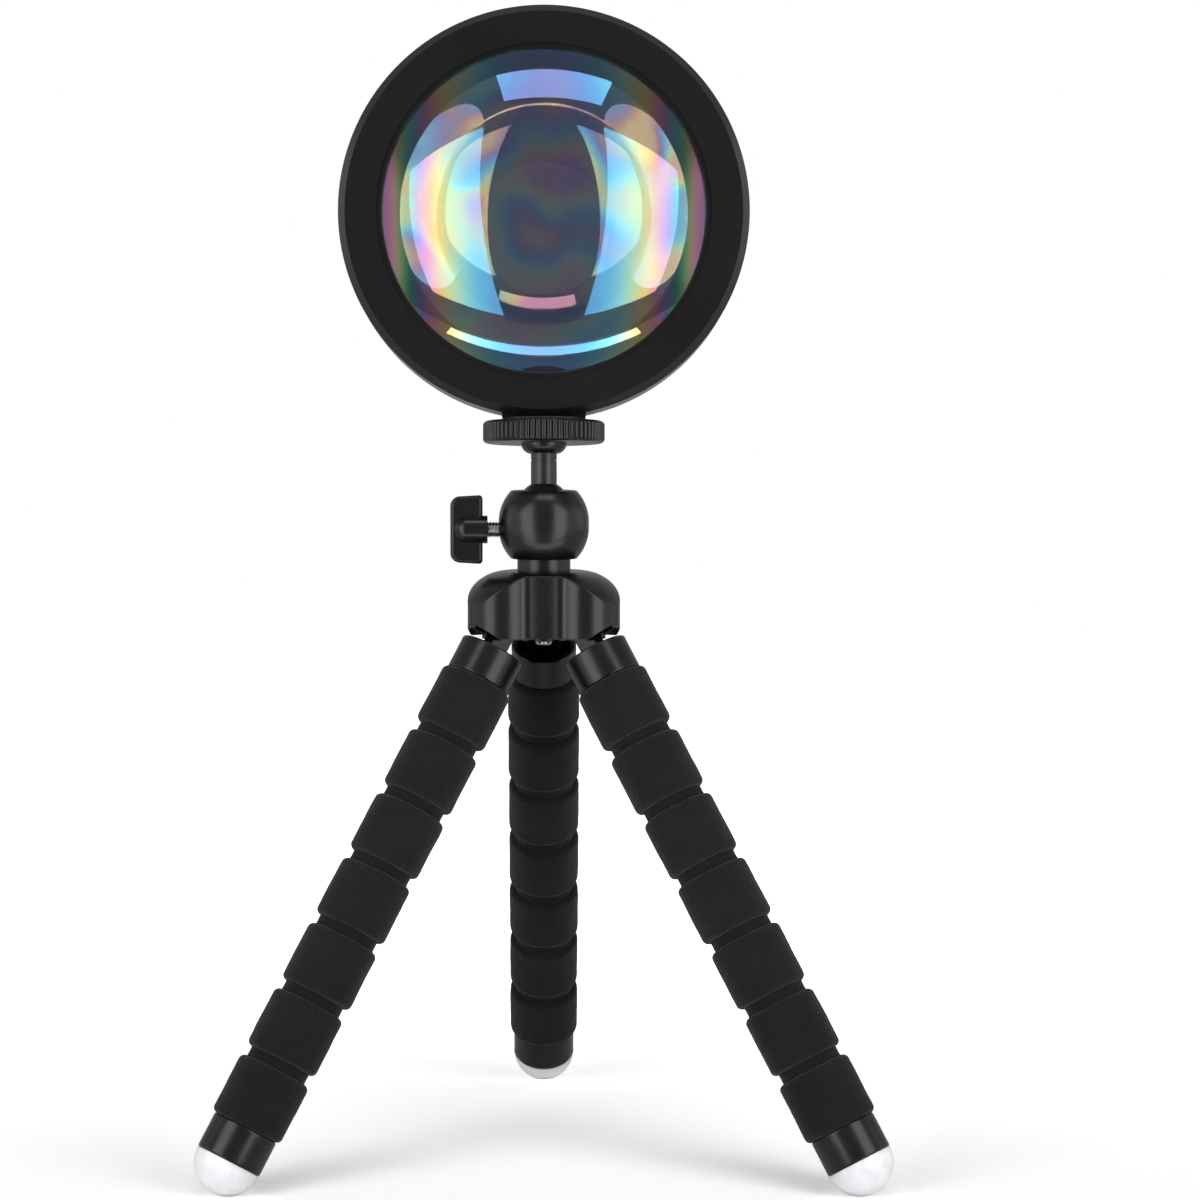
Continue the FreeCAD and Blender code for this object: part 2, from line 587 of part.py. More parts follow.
def clamp_space():
    """Bores for the brake shoe and the clamp screw, on a line towards -X."""
    at = Vector(0, 0, CLAMP_HEIGHT)
    shoe_bore = cylinder(SHOE_RADIUS + SLIDE_FIT, 0, SHOE_OUTER + SCREW_TRAVEL + SLIDE_FIT, -X_AXIS, at)
    screw_bore = cylinder(SCREW_RADIUS + SLIDE_FIT, 0, HOUSING_RADIUS + SLEEVE_GAP, -X_AXIS, at)
    return shoe_bore.fuse(screw_bore)


def socket_space():
    """Cavity that holds the seat and the ball, open at the top."""
    space = cylinder(SOCKET_RADIUS, CAVITY_FLOOR, BALL_HEIGHT)
    space = space.fuse(Part.makeSphere(SOCKET_RADIUS, Vector(0, 0, BALL_HEIGHT)))
    return space.fuse(cylinder(OPENING_RADIUS, BALL_HEIGHT, HOUSING_TOP))


def ball_housing_lower():
    neck = cylinder(NECK_FLANGE_RADIUS, HUB_TOP, HOUSING_BOTTOM + HOUSING_FLOOR)
    below = cylinder(FAR, HUB_TOP, PARTING)
    lower = housing_form().common(below).fuse(neck)
    bolt_bore = cylinder(BOLT_RADIUS + SEATED_FIT, HUB_TOP, CAVITY_FLOOR)
    head_bore = cylinder(BOLT_HEAD_RADIUS + SEATED_FIT, CAVITY_FLOOR - BOLT_HEAD_THICKNESS, CAVITY_FLOOR)
    return lower.cut([socket_space(), clamp_space(), bolt_bore, head_bore])


def ball_housing_upper():
    above = cylinder(FAR, PARTING, HOUSING_TOP)
    return housing_form().common(above).cut([socket_space(), clamp_space()])


def ball_seat():
    """Cup under the ball, free to turn on the housing floor."""
    floor = CAVITY_FLOOR + SLIDE_FIT
    seat = cylinder(SEAT_FLANGE_RADIUS, floor, floor + SEAT_FLANGE_THICKNESS)
    rim = BALL_HEIGHT - math.sqrt(SOCKET_RADIUS ** 2 - SEAT_RADIUS ** 2)
    seat = seat.fuse(cylinder(SEAT_RADIUS, floor, rim))
    return seat.cut(Part.makeSphere(SOCKET_RADIUS, Vector(0, 0, BALL_HEIGHT)))


def brake_shoe():
    """Plug that the clamp screw presses against the ball."""
    at = Vector(0, 0, CLAMP_HEIGHT)
    shoe = cylinder(SHOE_RADIUS, SHOE_INNER, SHOE_OUTER, -X_AXIS, at)
    return shoe.cut(Part.makeSphere(SOCKET_RADIUS, Vector(0, 0, BALL_HEIGHT)))


def clamp_screw():
    at = Vector(0, 0, CLAMP_HEIGHT)
    return cylinder(SCREW_RADIUS, SHOE_OUTER + SLIDE_FIT, KNOB_INNER + SCREW_IN_KNOB, -X_AXIS, at)


def is_across(edge):
    """True for a straight edge that runs along Y."""
    return abs(edge.tangentAt(edge.FirstParameter).y) > 0.99 and edge.Length > 1e-6


def clamp_knob():
    """Two-winged knob: flat wings with round outer corners, and a boss with a round nose."""
    wing_start = KNOB_INNER + KNOB_COLLAR_LENGTH
    wing_end = wing_start + KNOB_LENGTH
    half = KNOB_SPAN / 2
    half_tip = KNOB_TIP_SPAN / 2
    corners = [(-wing_start, -half), (-wing_end, -half_tip), (-wing_end, half_tip), (-wing_start, half)]
    face = profile_face(corners[0], corners[1:])
    wings = face.extrude(Vector(0, KNOB_THICKNESS, 0)).translated(Vector(0, -KNOB_THICKNESS / 2, 0))
    middle = -(wing_start + wing_end) / 2
    wings = rounded(wings, KNOB_CORNER, lambda edge: is_across(edge) and edge.CenterOfMass.x < middle)
    wings = rounded(wings, KNOB_ROUND, lambda edge: is_across(edge) and edge.CenterOfMass.x > middle)
    wings = rounded(wings, KNOB_ROUND, lambda edge: abs(abs(edge.CenterOfMass.y) - KNOB_THICKNESS / 2) < 1e-6)
    boss = cylinder(KNOB_COLLAR_RADIUS, wing_start, wing_start + KNOB_BOSS_LENGTH, -X_AXIS)
    boss = rounded(boss, KNOB_NOSE, lambda edge: edge.CenterOfMass.x < -wing_start - KNOB_BOSS_LENGTH + 1e-6)
    collar = cylinder(KNOB_COLLAR_RADIUS, KNOB_INNER, wing_start + KNOB_ROUND, -X_AXIS)
    knob = wings.fuse([boss, collar])
    knob = knob.cut(cylinder(SCREW_RADIUS, KNOB_INNER, KNOB_INNER + SCREW_IN_KNOB, -X_AXIS))
    return knob.translated(Vector(0, 0, CLAMP_HEIGHT))


# ---- stem, wheel and head: built with the stem upright, the ball centre at the origin ----

def on_ball(shape):
    """Lean a piece back with the stem and lift it to the ball."""
    return shape.rotated(ORIGIN, X_AXIS, -HEAD_TILT).translated(Vector(0, 0, BALL_HEIGHT))


def ball_stem():
    top = HEAD_BOTTOM + INSERT_LENGTH - STUD_SETBACK
    stem = cylinder(STEM_RADIUS, 0, top)
    groove_low = STEM_GROOVE_AT - STEM_GROOVE_WIDTH / 2
    groove_high = STEM_GROOVE_AT + STEM_GROOVE_WIDTH / 2
    stem = stem.cut(ring_solid(STEM_RADIUS - STEM_GROOVE_DEPTH, STEM_RADIUS, groove_low, groove_high))
    stem = rounded(stem, STEM_GROOVE_DEPTH, circle_edge_at(top, STEM_RADIUS))
    return stem.fuse(Part.makeSphere(BALL_RADIUS))


def ribbed_outline():
    """Wheel outline with one rounded rib after another."""
    valley = WHEEL_RADIUS - WHEEL_RIB_DEPTH
    step = 2 * math.pi / WHEEL_RIBS
    edges = []
    for rib in range(WHEEL_RIBS):
        points = []
        for share, radius in ((0, valley), (0.5, WHEEL_RADIUS), (1, valley)):
            angle = (rib + share) * step
            points.append(Vector(radius * math.cos(angle), radius * math.sin(angle), WHEEL_BOTTOM))
        edges.append(Part.Arc(*points).toShape())
    return Part.Face(Part.Wire(edges))


def lock_wheel():
    """Ribbed wheel that jams against the pad, with a rounded boss below it."""
    edge = WHEEL_RADIUS - WHEEL_ROUND
    blank_moves = [
        (edge, WHEEL_BOTTOM),
        corner((edge, WHEEL_BOTTOM + WHEEL_ROUND), WHEEL_ROUND, -90, 0),
        (WHEEL_RADIUS, WHEEL_TOP - WHEEL_ROUND),
        corner((edge, WHEEL_TOP - WHEEL_ROUND), WHEEL_ROUND, 0, 90),
        (0, WHEEL_TOP),
    ]
    blank = turned((0, WHEEL_BOTTOM), blank_moves)
    wheel = ribbed_outline().extrude(Vector(0, 0, WHEEL_THICKNESS)).common(blank)
    boss_low = WHEEL_BOTTOM - WHEEL_BOSS_LENGTH
    boss_middle = (WHEEL_BOSS_LOW_RADIUS + WHEEL_BOSS_LENGTH / 2, boss_low + WHEEL_BOSS_LENGTH / 3)
    boss_moves = [
        (WHEEL_BOSS_LOW_RADIUS, boss_low),
        (boss_middle, (WHEEL_BOSS_HIGH_RADIUS, WHEEL_BOTTOM)),
        (0, WHEEL_BOTTOM),
    ]
    wheel = wheel.fuse(turned((0, boss_low), boss_moves))
    return wheel.cut(cylinder(STEM_RADIUS + RUNNING_FIT, boss_low, WHEEL_TOP))


def mount_pad():
    return ring_solid(STEM_RADIUS + SLEEVE_GAP, PAD_RADIUS, WHEEL_TOP, PAD_TOP)


def on_lens_axis(shape):
    """Lay a piece that was turned about Z along the lens axis, its +Z end to the rear."""
    return shape.rotated(ORIGIN, X_AXIS, -90).translated(Vector(0, 0, HEAD_CENTRE))


def round_pattern(shape, angles):
    """Copies of a piece at angles about the lens axis."""
    return [turned_about_z(shape, angle) for angle in angles]


def mount_boss():
    """Saddle under the drum with the block that holds the threaded insert, in the upright stem frame."""
    half_boss = BOSS_WIDTH / 2
    half_core = BOSS_CORE_WIDTH / 2
    core_top = HEAD_BOTTOM + INSERT_LENGTH + BOSS_ROOF
    saddle = box((-half_boss, half_boss), (BOSS_FRONT, BOSS_REAR), (HEAD_BOTTOM, HEAD_BOTTOM + SHELL_WALL))
    return saddle.fuse(box((-half_core, half_core), (BOSS_FRONT, BOSS_REAR), (HEAD_BOTTOM, core_top)))


def head_shell():
    """Drum and rear barrel in one, with the ledge behind the lens and the four screw bosses."""
    shoulder_end = DRUM_REAR + SHOULDER_LENGTH
    drum_inner = HEAD_RADIUS - SHELL_WALL
    barrel_inner = BARREL_RADIUS - SHELL_WALL
    step = HEAD_RADIUS - BARREL_RADIUS
    outer_moves = [
        (HEAD_RADIUS, SHELL_FRONT),
        (HEAD_RADIUS, DRUM_REAR),
        ((HEAD_RADIUS - step * 0.3, DRUM_REAR + SHOULDER_LENGTH * 0.7), (BARREL_RADIUS, shoulder_end)),
        (COVER_RADIUS, SHELL_REAR),
        (0, SHELL_REAR),
    ]
    shell = turned((0, SHELL_FRONT), outer_moves)
    inner_moves = [
        (drum_inner, SHELL_FRONT),
        (drum_inner, DRUM_REAR),
        (barrel_inner, DRUM_REAR + SHOULDER_LENGTH - SHELL_WALL),
        (barrel_inner, shoulder_end),
        (COVER_RADIUS - SHELL_WALL, SHELL_REAR),
        (0, SHELL_REAR),
    ]
    shell = shell.cut(turned((0, SHELL_FRONT), inner_moves))
    ledge = ring_solid(LEDGE_RADIUS, drum_inner + SHELL_WALL / 2, LEDGE_FRONT, LEDGE_FRONT + LEDGE_THICKNESS)
    rim_inner = LENS_RADIUS + SEATED_FIT
    rim = ring_solid(rim_inner, rim_inner + LENS_RIM_THICKNESS, LENS_FRONT, LEDGE_FRONT)
    shell = shell.fuse([ledge, rim])
    boss = box((SCREW_CIRCLE - POST_RADIUS, barrel_inner), (-POST_RADIUS, POST_RADIUS),
               (BOARD_BACK - HEAD_SCREW_ENGAGEMENT, BOARD_BACK))
    hole = cylinder(HEAD_SCREW_RADIUS, BOARD_BACK - HEAD_SCREW_ENGAGEMENT, BOARD_BACK,
                    Z_AXIS, Vector(SCREW_CIRCLE, 0, 0))
    shell = shell.fuse(round_pattern(boss, HEAD_SCREW_ANGLES))
    shell = shell.cut(round_pattern(hole, HEAD_SCREW_ANGLES))
    shell = on_lens_axis(shell)
    lens_room = on_lens_axis(cylinder(rim_inner, SHELL_FRONT, LEDGE_FRONT))
    shell = shell.fuse(mount_boss()).cut(lens_room)
    return shell.cut(cylinder(INSERT_RADIUS, HEAD_BOTTOM, HEAD_BOTTOM + INSERT_LENGTH))


def mount_insert():
    """Threaded insert in which the stud of the stem is screwed."""
    return ring_solid(STEM_RADIUS + RUNNING_FIT, INSERT_RADIUS, HEAD_BOTTOM, HEAD_BOTTOM + INSERT_LENGTH)


def front_bezel():
    """Front ring with a bevelled rim, a lip over the lens edge and four clips."""
    bevel_back = FRONT_FACE + BEZEL_BEVEL_DEPTH
    moves = [
        (HEAD_RADIUS, SHELL_FRONT),
        (HEAD_RADIUS, bevel_back),
        (BEZEL_BEVEL_RADIUS, FRONT_FACE),
        (BEZEL_INNER_RADIUS, FRONT_FACE + BEZEL_CONE),
        (BEZEL_INNER_RADIUS, LIP_FRONT),
        (LIP_RADIUS, LIP_FRONT),
        (LIP_RADIUS, LENS_FRONT),
        (BEZEL_INNER_RADIUS, LENS_FRONT),
    ]
    bezel = turned((LENS_RADIUS, SHELL_FRONT), moves + [(LENS_RADIUS, LENS_FRONT)])
    clip_outer = HEAD_RADIUS - SHELL_WALL - SEATED_FIT
    half = CLIP_WIDTH / 2
    sector = box((0, HEAD_RADIUS), (-half, half), (SHELL_FRONT, SHELL_FRONT + CLIP_LENGTH))
    clip_ring = ring_solid(clip_outer - CLIP_THICKNESS, clip_outer, SHELL_FRONT, SHELL_FRONT + CLIP_LENGTH)
    clip = clip_ring.common(sector)
    return on_lens_axis(bezel.fuse(round_pattern(clip, CLIP_ANGLES)))


def bulge(base, height):
    """Radius of the sphere of a bulge, and the angle from its axis to its foot."""
    sphere = (base ** 2 + height ** 2) / (2 * height)
    return sphere, math.degrees(math.asin(base / sphere))


def lens():
    """Thick glass with a domed front, a flatter bulge behind and a narrow edge under the lip."""
    apex = LIP_FRONT - LENS_DOME_HEIGHT
    rear = LENS_BACK + LENS_REAR_HEIGHT
    sphere, reach = bulge(LENS_DOME_BASE, LENS_DOME_HEIGHT)
    rear_sphere, rear_reach = bulge(LENS_REAR_BASE, LENS_REAR_HEIGHT)
    moves = [
        corner((0, rear - rear_sphere), rear_sphere, 90, 90 - rear_reach),
        (LENS_RADIUS, LENS_BACK),
        (LENS_RADIUS, LENS_FRONT),
        (LENS_DOME_BASE, LENS_FRONT),
        (LENS_DOME_BASE, LIP_FRONT),
        corner((0, apex + sphere), sphere, reach - 90, -90),
    ]
    return on_lens_axis(turned((0, rear), moves))


def lens_gasket():
    return on_lens_axis(ring_solid(LEDGE_RADIUS, LENS_RADIUS, LENS_BACK, LEDGE_FRONT))


def light_cone():
    """Dark cone from the lens down to the light chip, with the filter's step in its throat."""
    flange_front = BOARD_FRONT - CONE_FLANGE_THICKNESS
    throat = CONE_THROAT_RADIUS
    outer_throat = FILTER_RADIUS + CONE_WALL
    filter_back = CONE_THROAT_FRONT + FILTER_THICKNESS
    moves = [
        (CONE_MOUTH_RADIUS, LEDGE_FRONT + LEDGE_THICKNESS),
        (outer_throat, CONE_THROAT_FRONT),
        (outer_throat, flange_front),
        (BOARD_RADIUS, flange_front),
        (BOARD_RADIUS, BOARD_FRONT),
        (FILTER_RADIUS, BOARD_FRONT),
        (FILTER_RADIUS, CONE_THROAT_FRONT),
        (throat, CONE_THROAT_FRONT),
        (throat, CONE_THROAT_FRONT - CONE_WALL),
        (CONE_MOUTH_RADIUS - CONE_WALL, LEDGE_FRONT),
    ]
    cone = turned((CONE_MOUTH_RADIUS, LEDGE_FRONT), moves)
    retainer = ring_solid(throat, FILTER_RADIUS, filter_back, BOARD_FRONT - CHIP_THICKNESS)
    return on_lens_axis(cone.fuse(retainer))


def colour_filter():
    """Thin coloured disc that makes the sunset tint."""
    back = CONE_THROAT_FRONT + FILTER_THICKNESS
    return on_lens_axis(cylinder(FILTER_RADIUS, CONE_THROAT_FRONT, back))


def led_board():
    """Round board with the light chip on its front."""
    board = cylinder(BOARD_RADIUS, BOARD_FRONT, BOARD_BACK)
    chip = cylinder(CHIP_RADIUS, BOARD_FRONT - CHIP_THICKNESS, BOARD_FRONT)
    return on_lens_axis(board.fuse(chip))


def lead_lines(radius, low, high):
    """The two leads beside the chip, as straight rods along the lens axis."""
    places = (Vector(-LEAD_OFFSET, 0, 0), Vector(LEAD_OFFSET, 0, 0))
    return [cylinder(radius, low, high, Z_AXIS, place) for place in places]


def heat_sink():
    """Plate behind the light board with straight fins."""
    sink = cylinder(SINK_RADIUS, BOARD_BACK, SINK_BACK)
    half = FIN_SPAN / 2
    for number in range(FIN_COUNT):
        middle = (number - (FIN_COUNT - 1) / 2) * FIN_PITCH
        fin = box((middle - FIN_THICKNESS / 2, middle + FIN_THICKNESS / 2), (-half, half),
                  (SINK_BACK, SINK_BACK + FIN_HEIGHT))
        sink = sink.fuse(fin)
    hole = cylinder(HEAD_SCREW_RADIUS + SLIDE_FIT, BOARD_BACK, SINK_BACK, Z_AXIS, Vector(SCREW_CIRCLE, 0, 0))
    sink = sink.cut(round_pattern(hole, HEAD_SCREW_ANGLES))
    sink = sink.cut(lead_lines(LEAD_RADIUS + SLEEVE_GAP, BOARD_BACK, SINK_BACK + FIN_HEIGHT))
    return on_lens_axis(sink)


def inner_leads():
    leads = lead_lines(LEAD_RADIUS, BOARD_BACK, DRIVER_FRONT)
    return on_lens_axis(Part.makeCompound(leads))


def driver_board():
    """Board with the light's driver, its receiver and the leads' terminals."""
    half = DRIVER_WIDTH / 2
    front = SINK_BACK + FIN_HEIGHT + SLEEVE_GAP
    board = box((-half, half), (-DRIVER_ABOVE, DRIVER_BELOW), (DRIVER_FRONT, DRIVER_BACK))
    chip = flat_bar(DRIVER_CHIP_SIZE, DRIVER_CHIP_SIZE, INLET_DOWN, front, DRIVER_FRONT)
    coil_at = Vector(DRIVER_COIL_OFFSET, INLET_DOWN, 0)
    coil = cylinder(DRIVER_COIL_RADIUS, front, DRIVER_FRONT, Z_AXIS, coil_at)
    return on_lens_axis(board.fuse([chip, coil]))


def flat_bar(width, height, middle, low, high):
    """Bar along Z with a low wide section, its middle moved along Y."""
    return box((-width / 2, width / 2), (middle - height / 2, middle + height / 2), (low, high))


def is_along_z(edge):
    return abs(edge.tangentAt(edge.FirstParameter).z) > 0.99


def power_inlet_form(clearance):
    """Outside of the socket body, from the driver board through the cover."""
    height = INLET_HEIGHT + 2 * clearance
    body = flat_bar(INLET_WIDTH + 2 * clearance, height, INLET_DOWN, DRIVER_BACK, COVER_BACK + INLET_PROUD)
    return rounded(body, height * 0.3, is_along_z)


def power_inlet():
    """Flat socket for the supply lead, with its contact tongue."""
    mouth = COVER_BACK + INLET_PROUD
    floor = mouth - INLET_SLOT_DEPTH
    slot = flat_bar(INLET_SLOT_WIDTH, INLET_SLOT_HEIGHT, INLET_DOWN, floor, mouth)
    slot = rounded(slot, INLET_SLOT_HEIGHT * 0.45, is_along_z)
    tongue = flat_bar(INLET_TONGUE_WIDTH, INLET_TONGUE_THICKNESS, INLET_DOWN, floor,
                      mouth - INLET_TONGUE_SETBACK)
    return on_lens_axis(power_inlet_form(0).cut(slot).fuse(tongue))


def rear_cover():
    """Dished cover with vents, screw posts down to the heat sink and two board standoffs."""
    edge = COVER_RADIUS - COVER_ROUND
    inner = COVER_RADIUS - SHELL_WALL - SEATED_FIT
    moves = [
        (COVER_RADIUS, SHELL_REAR),
        (COVER_RADIUS, COVER_BACK - COVER_ROUND),
        corner((edge, COVER_BACK - COVER_ROUND), COVER_ROUND, 0, 90),
        (0, COVER_BACK),
        (0, COVER_FLOOR),
        (inner - COVER_WALL, COVER_FLOOR),
        (inner - COVER_WALL, SHELL_REAR - COVER_SPIGOT_LENGTH),
        (inner, SHELL_REAR - COVER_SPIGOT_LENGTH),
    ]
    cover = turned((inner, SHELL_REAR), moves)
    post = cylinder(POST_RADIUS, SINK_BACK, COVER_FLOOR + COVER_WALL / 2, Z_AXIS, Vector(SCREW_CIRCLE, 0, 0))
    cover = cover.fuse(round_pattern(post, HEAD_SCREW_ANGLES))
    hole = cylinder(HEAD_SCREW_RADIUS + SLIDE_FIT, SINK_BACK, COVER_BACK, Z_AXIS, Vector(SCREW_CIRCLE, 0, 0))
    seat = cylinder(HEAD_SCREW_CAP_RADIUS + SLIDE_FIT, COVER_BACK - HEAD_SCREW_CAP_HEIGHT, COVER_BACK,
                    Z_AXIS, Vector(SCREW_CIRCLE, 0, 0))
    cover = cover.cut(round_pattern(hole.fuse(seat), HEAD_SCREW_ANGLES))
    for number in range(VENT_COUNT):
        middle = -VENT_UP + (number - (VENT_COUNT - 1) / 2) * VENT_PITCH
        vent = flat_bar(VENT_LENGTH, VENT_WIDTH, middle, COVER_FLOOR, COVER_BACK)
        cover = cover.cut(rounded(vent, VENT_WIDTH * 0.45, is_along_z))
    for side in (-1, 1):
        at = Vector(side * STANDOFF_OFFSET, INLET_DOWN, 0)
        cover = cover.fuse(cylinder(STANDOFF_RADIUS, DRIVER_BACK, COVER_FLOOR, Z_AXIS, at))
    return on_lens_axis(cover.cut(power_inlet_form(SEATED_FIT)))


def rear_cover_screws():
    """Four screws from the cover through the heat sink into the shell."""
    tip = BOARD_BACK - HEAD_SCREW_ENGAGEMENT
    cap_front = COVER_BACK - HEAD_SCREW_CAP_HEIGHT
    moves = [
        (HEAD_SCREW_RADIUS, tip),
        (HEAD_SCREW_RADIUS, cap_front),
        (HEAD_SCREW_CAP_RADIUS, cap_front),
        (HEAD_SCREW_CAP_RADIUS, COVER_BACK - SLIDE_FIT),
        (0, COVER_BACK - SLIDE_FIT),
    ]
    screw = turned((0, tip), moves)
    recess = cylinder(HEAD_SCREW_RADIUS * 0.7, COVER_BACK - HEAD_SCREW_CAP_HEIGHT / 2, COVER_BACK)
    screw = screw.cut(recess).translated(Vector(SCREW_CIRCLE, 0, 0))
    return on_lens_axis(Part.makeCompound(round_pattern(screw, HEAD_SCREW_ANGLES)))


# ---- the whole lamp ----

def build_hub():
    save(hub_cap(), "hub_cap")
    save(hub_frame(), "hub_frame")
    save(hinge_pins(), "hinge_pins")
    save(centre_bolt(), "centre_bolt")


def build_ball_head():
    save(ball_housing_lower(), "ball_housing_lower")
    save(ball_housing_upper(), "ball_housing_upper")
    save(ball_seat(), "ball_seat")
    save(brake_shoe(), "brake_shoe")
    save(clamp_screw(), "clamp_screw")
    save(clamp_knob(), "clamp_knob")
    save(on_ball(ball_stem()), "ball_stem")
    save(on_ball(lock_wheel()), "lock_wheel")
    save(on_ball(mount_pad()), "mount_pad")


def build_head():
    pieces = {
        "head_shell": head_shell,
        "mount_insert": mount_insert,
        "front_bezel": front_bezel,
        "lens": lens,
        "lens_gasket": lens_gasket,
        "light_cone": light_cone,
        "colour_filter": colour_filter,
        "led_board": led_board,
        "heat_sink": heat_sink,
        "inner_leads": inner_leads,
        "driver_board": driver_board,
        "power_inlet": power_inlet,
        "rear_cover": rear_cover,
        "rear_cover_screws": rear_cover_screws,
    }
    for name, make in pieces.items():
        save(on_ball(make()), name)


os.makedirs("parts", exist_ok=True)
for leg_side, leg_azimuth in LEGS.items():
    build_leg(leg_side, leg_azimuth)
build_hub()
build_ball_head()
build_head()
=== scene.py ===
# %% [markdown]
# # Sunset projection lamp on a small bendable tripod
#
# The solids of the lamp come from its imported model, already at their real size and in their
# real place. This lesson gives them their finishes, makes the soft and the finely detailed
# pieces anew, and sets up a plain studio. All lengths are metres, +Z is up, and the lens faces -Y.

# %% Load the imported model
import json
import math

import bmesh
import bpy
from mathutils import Matrix, Vector


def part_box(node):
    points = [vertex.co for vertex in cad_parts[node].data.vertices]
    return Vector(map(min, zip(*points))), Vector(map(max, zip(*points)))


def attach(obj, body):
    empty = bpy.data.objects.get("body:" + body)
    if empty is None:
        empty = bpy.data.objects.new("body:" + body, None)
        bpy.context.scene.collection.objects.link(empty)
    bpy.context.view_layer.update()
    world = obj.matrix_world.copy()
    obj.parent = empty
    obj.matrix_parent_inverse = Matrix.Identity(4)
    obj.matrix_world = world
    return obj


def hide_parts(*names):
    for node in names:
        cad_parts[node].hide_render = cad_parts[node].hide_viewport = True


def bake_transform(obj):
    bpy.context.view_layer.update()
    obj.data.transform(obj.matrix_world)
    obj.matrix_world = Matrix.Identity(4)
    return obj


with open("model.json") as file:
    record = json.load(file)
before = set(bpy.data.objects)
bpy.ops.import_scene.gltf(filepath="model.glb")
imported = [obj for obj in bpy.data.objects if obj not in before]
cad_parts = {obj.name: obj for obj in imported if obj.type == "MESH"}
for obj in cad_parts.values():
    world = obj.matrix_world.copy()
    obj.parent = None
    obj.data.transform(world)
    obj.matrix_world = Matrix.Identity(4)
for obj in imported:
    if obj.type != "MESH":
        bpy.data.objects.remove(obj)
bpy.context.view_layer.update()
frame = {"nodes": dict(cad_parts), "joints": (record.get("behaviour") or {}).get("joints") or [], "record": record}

MM = 0.001

# %% [markdown]
# ## The camera
#
# The photograph was taken from just below the lens, with a long lens that hardly bends the
# proportions. The six grooves of each leg are evenly spaced, so their places in the picture
# give the camera's distance, height and tilt. The lamp stands left of the picture's middle,
# which a sideways shift of the film gives without turning the camera.

# %% Place the camera
CAMERA_PLACE = Vector((0.0, -0.799, 0.191))
CAMERA_DIP = math.radians(3.87)      # the camera looks down by this much
FOCAL_LENGTH = 97.98                 # in mm, on a 36 mm wide film
FILM_SHIFT = 0.0468                  # share of the picture's width

camera_data = bpy.data.cameras.new("camera")
camera_data.lens = FOCAL_LENGTH
camera_data.sensor_width = 36.0
camera_data.shift_x = FILM_SHIFT
camera = bpy.data.objects.new("camera", camera_data)
camera.location = CAMERA_PLACE
camera.rotation_euler = (math.radians(90.0) - CAMERA_DIP, 0.0, 0.0)
bpy.context.scene.collection.objects.link(camera)
bpy.context.scene.camera = camera

# %% [markdown]
# ## Where things are
#
# Every new piece takes its place from the solid that it stands for. A bead of a leg is the same
# at both ends, so the middle of its box is the middle of the bead, even though the leg is at a
# slant. Two beads then give the line of the whole leg.

# %% Measure the legs, the stem and the lens
SIDES = ("left", "right", "rear")
BEADS = range(1, 8)


def middle(node):
    """The middle of a solid's box."""
    low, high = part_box(node)
    return (low + high) / 2


def bead_body(side, number):
    """The body that carries bead 1 to 7 of a leg."""
    if number == BEADS[0]:
        return f"leg_{side}_top"
    if number == BEADS[-1]:
        return f"leg_{side}_end"
    return f"leg_{side}_bead_{number}"


def joint_named(name):
    """A joint of the record, by its name."""
    return next(joint for joint in frame["joints"] if joint["name"] == name)


def looking_along(direction):
    """A turn that takes +Z to the direction."""
    return direction.to_track_quat("Z", "Y").to_matrix().to_4x4()


leg_line = {}
for side in SIDES:
    first = middle(f"leg_{side}_ring_{BEADS[0]}")
    last = middle(f"leg_{side}_ring_{BEADS[-1]}")
    leg_line[side] = (last - first).normalized()
BEAD_PITCH = (last - first).length / (len(BEADS) - 1)

stem_line = Vector(joint_named("head_turn")["axis"])
ball_middle = Vector(joint_named("ball_pan")["pos_m"])
lens_line = Vector((0.0, -stem_line.z, stem_line.y))
print("bead pitch in millimetres", round(BEAD_PITCH / MM, 2))

# %% [markdown]
# ## How the finishes are made
#
# Every finish is a small tree of shader nodes around one Principled shader. The patterns read
# Object coordinates, which are metres here, so a noise scale of 1 / 0.0004 gives grains of
# 0.4 mm. Colours are written as the hex values that a paint shop uses, and one function turns
# them to linear light. Another fills in a node: a value is set on its socket, and a node or a
# node's output is linked to it. A third adds a node with its settings and links.

# %% Helpers for finishes
def linear(hex_colour):
    """An sRGB hex colour as linear light, with alpha."""
    shares = [int(hex_colour[place:place + 2], 16) / 255.0 for place in (0, 2, 4)]
    light = [share / 12.92 if share <= 0.04045 else ((share + 0.055) / 1.055) ** 2.4
             for share in shares]
    return (*light, 1.0)


def fill_in(finish, node, inputs):
    """Sets or links a node's inputs."""
    for name, value in inputs.items():
        if isinstance(value, bpy.types.Node):
            value = value.outputs[0]
        if isinstance(value, bpy.types.NodeSocket):
            finish.node_tree.links.new(value, node.inputs[name])
        else:
            node.inputs[name].default_value = value


def add_node(finish, kind, inputs, stops=(), **settings):
    """Adds a shader node with its settings, its inputs and, on a colour ramp, its stops."""
    node = finish.node_tree.nodes.new(kind)
    for name, value in settings.items():
        setattr(node, name, value)
    for number, (position, colour) in enumerate(stops):
        if number >= len(node.color_ramp.elements):
            node.color_ramp.elements.new(position)
        node.color_ramp.elements[number].position = position
        node.color_ramp.elements[number].color = linear(colour)
    fill_in(finish, node, inputs)
    return node


def new_finish(name):
    """An empty finish: its material, its main shader, and the place on the piece in metres."""
    finish = bpy.data.materials.new(name)
    finish.use_nodes = True
    shader = finish.node_tree.nodes["Principled BSDF"]
    place = add_node(finish, "ShaderNodeTexCoord", {}).outputs["Object"]
    return finish, shader, place

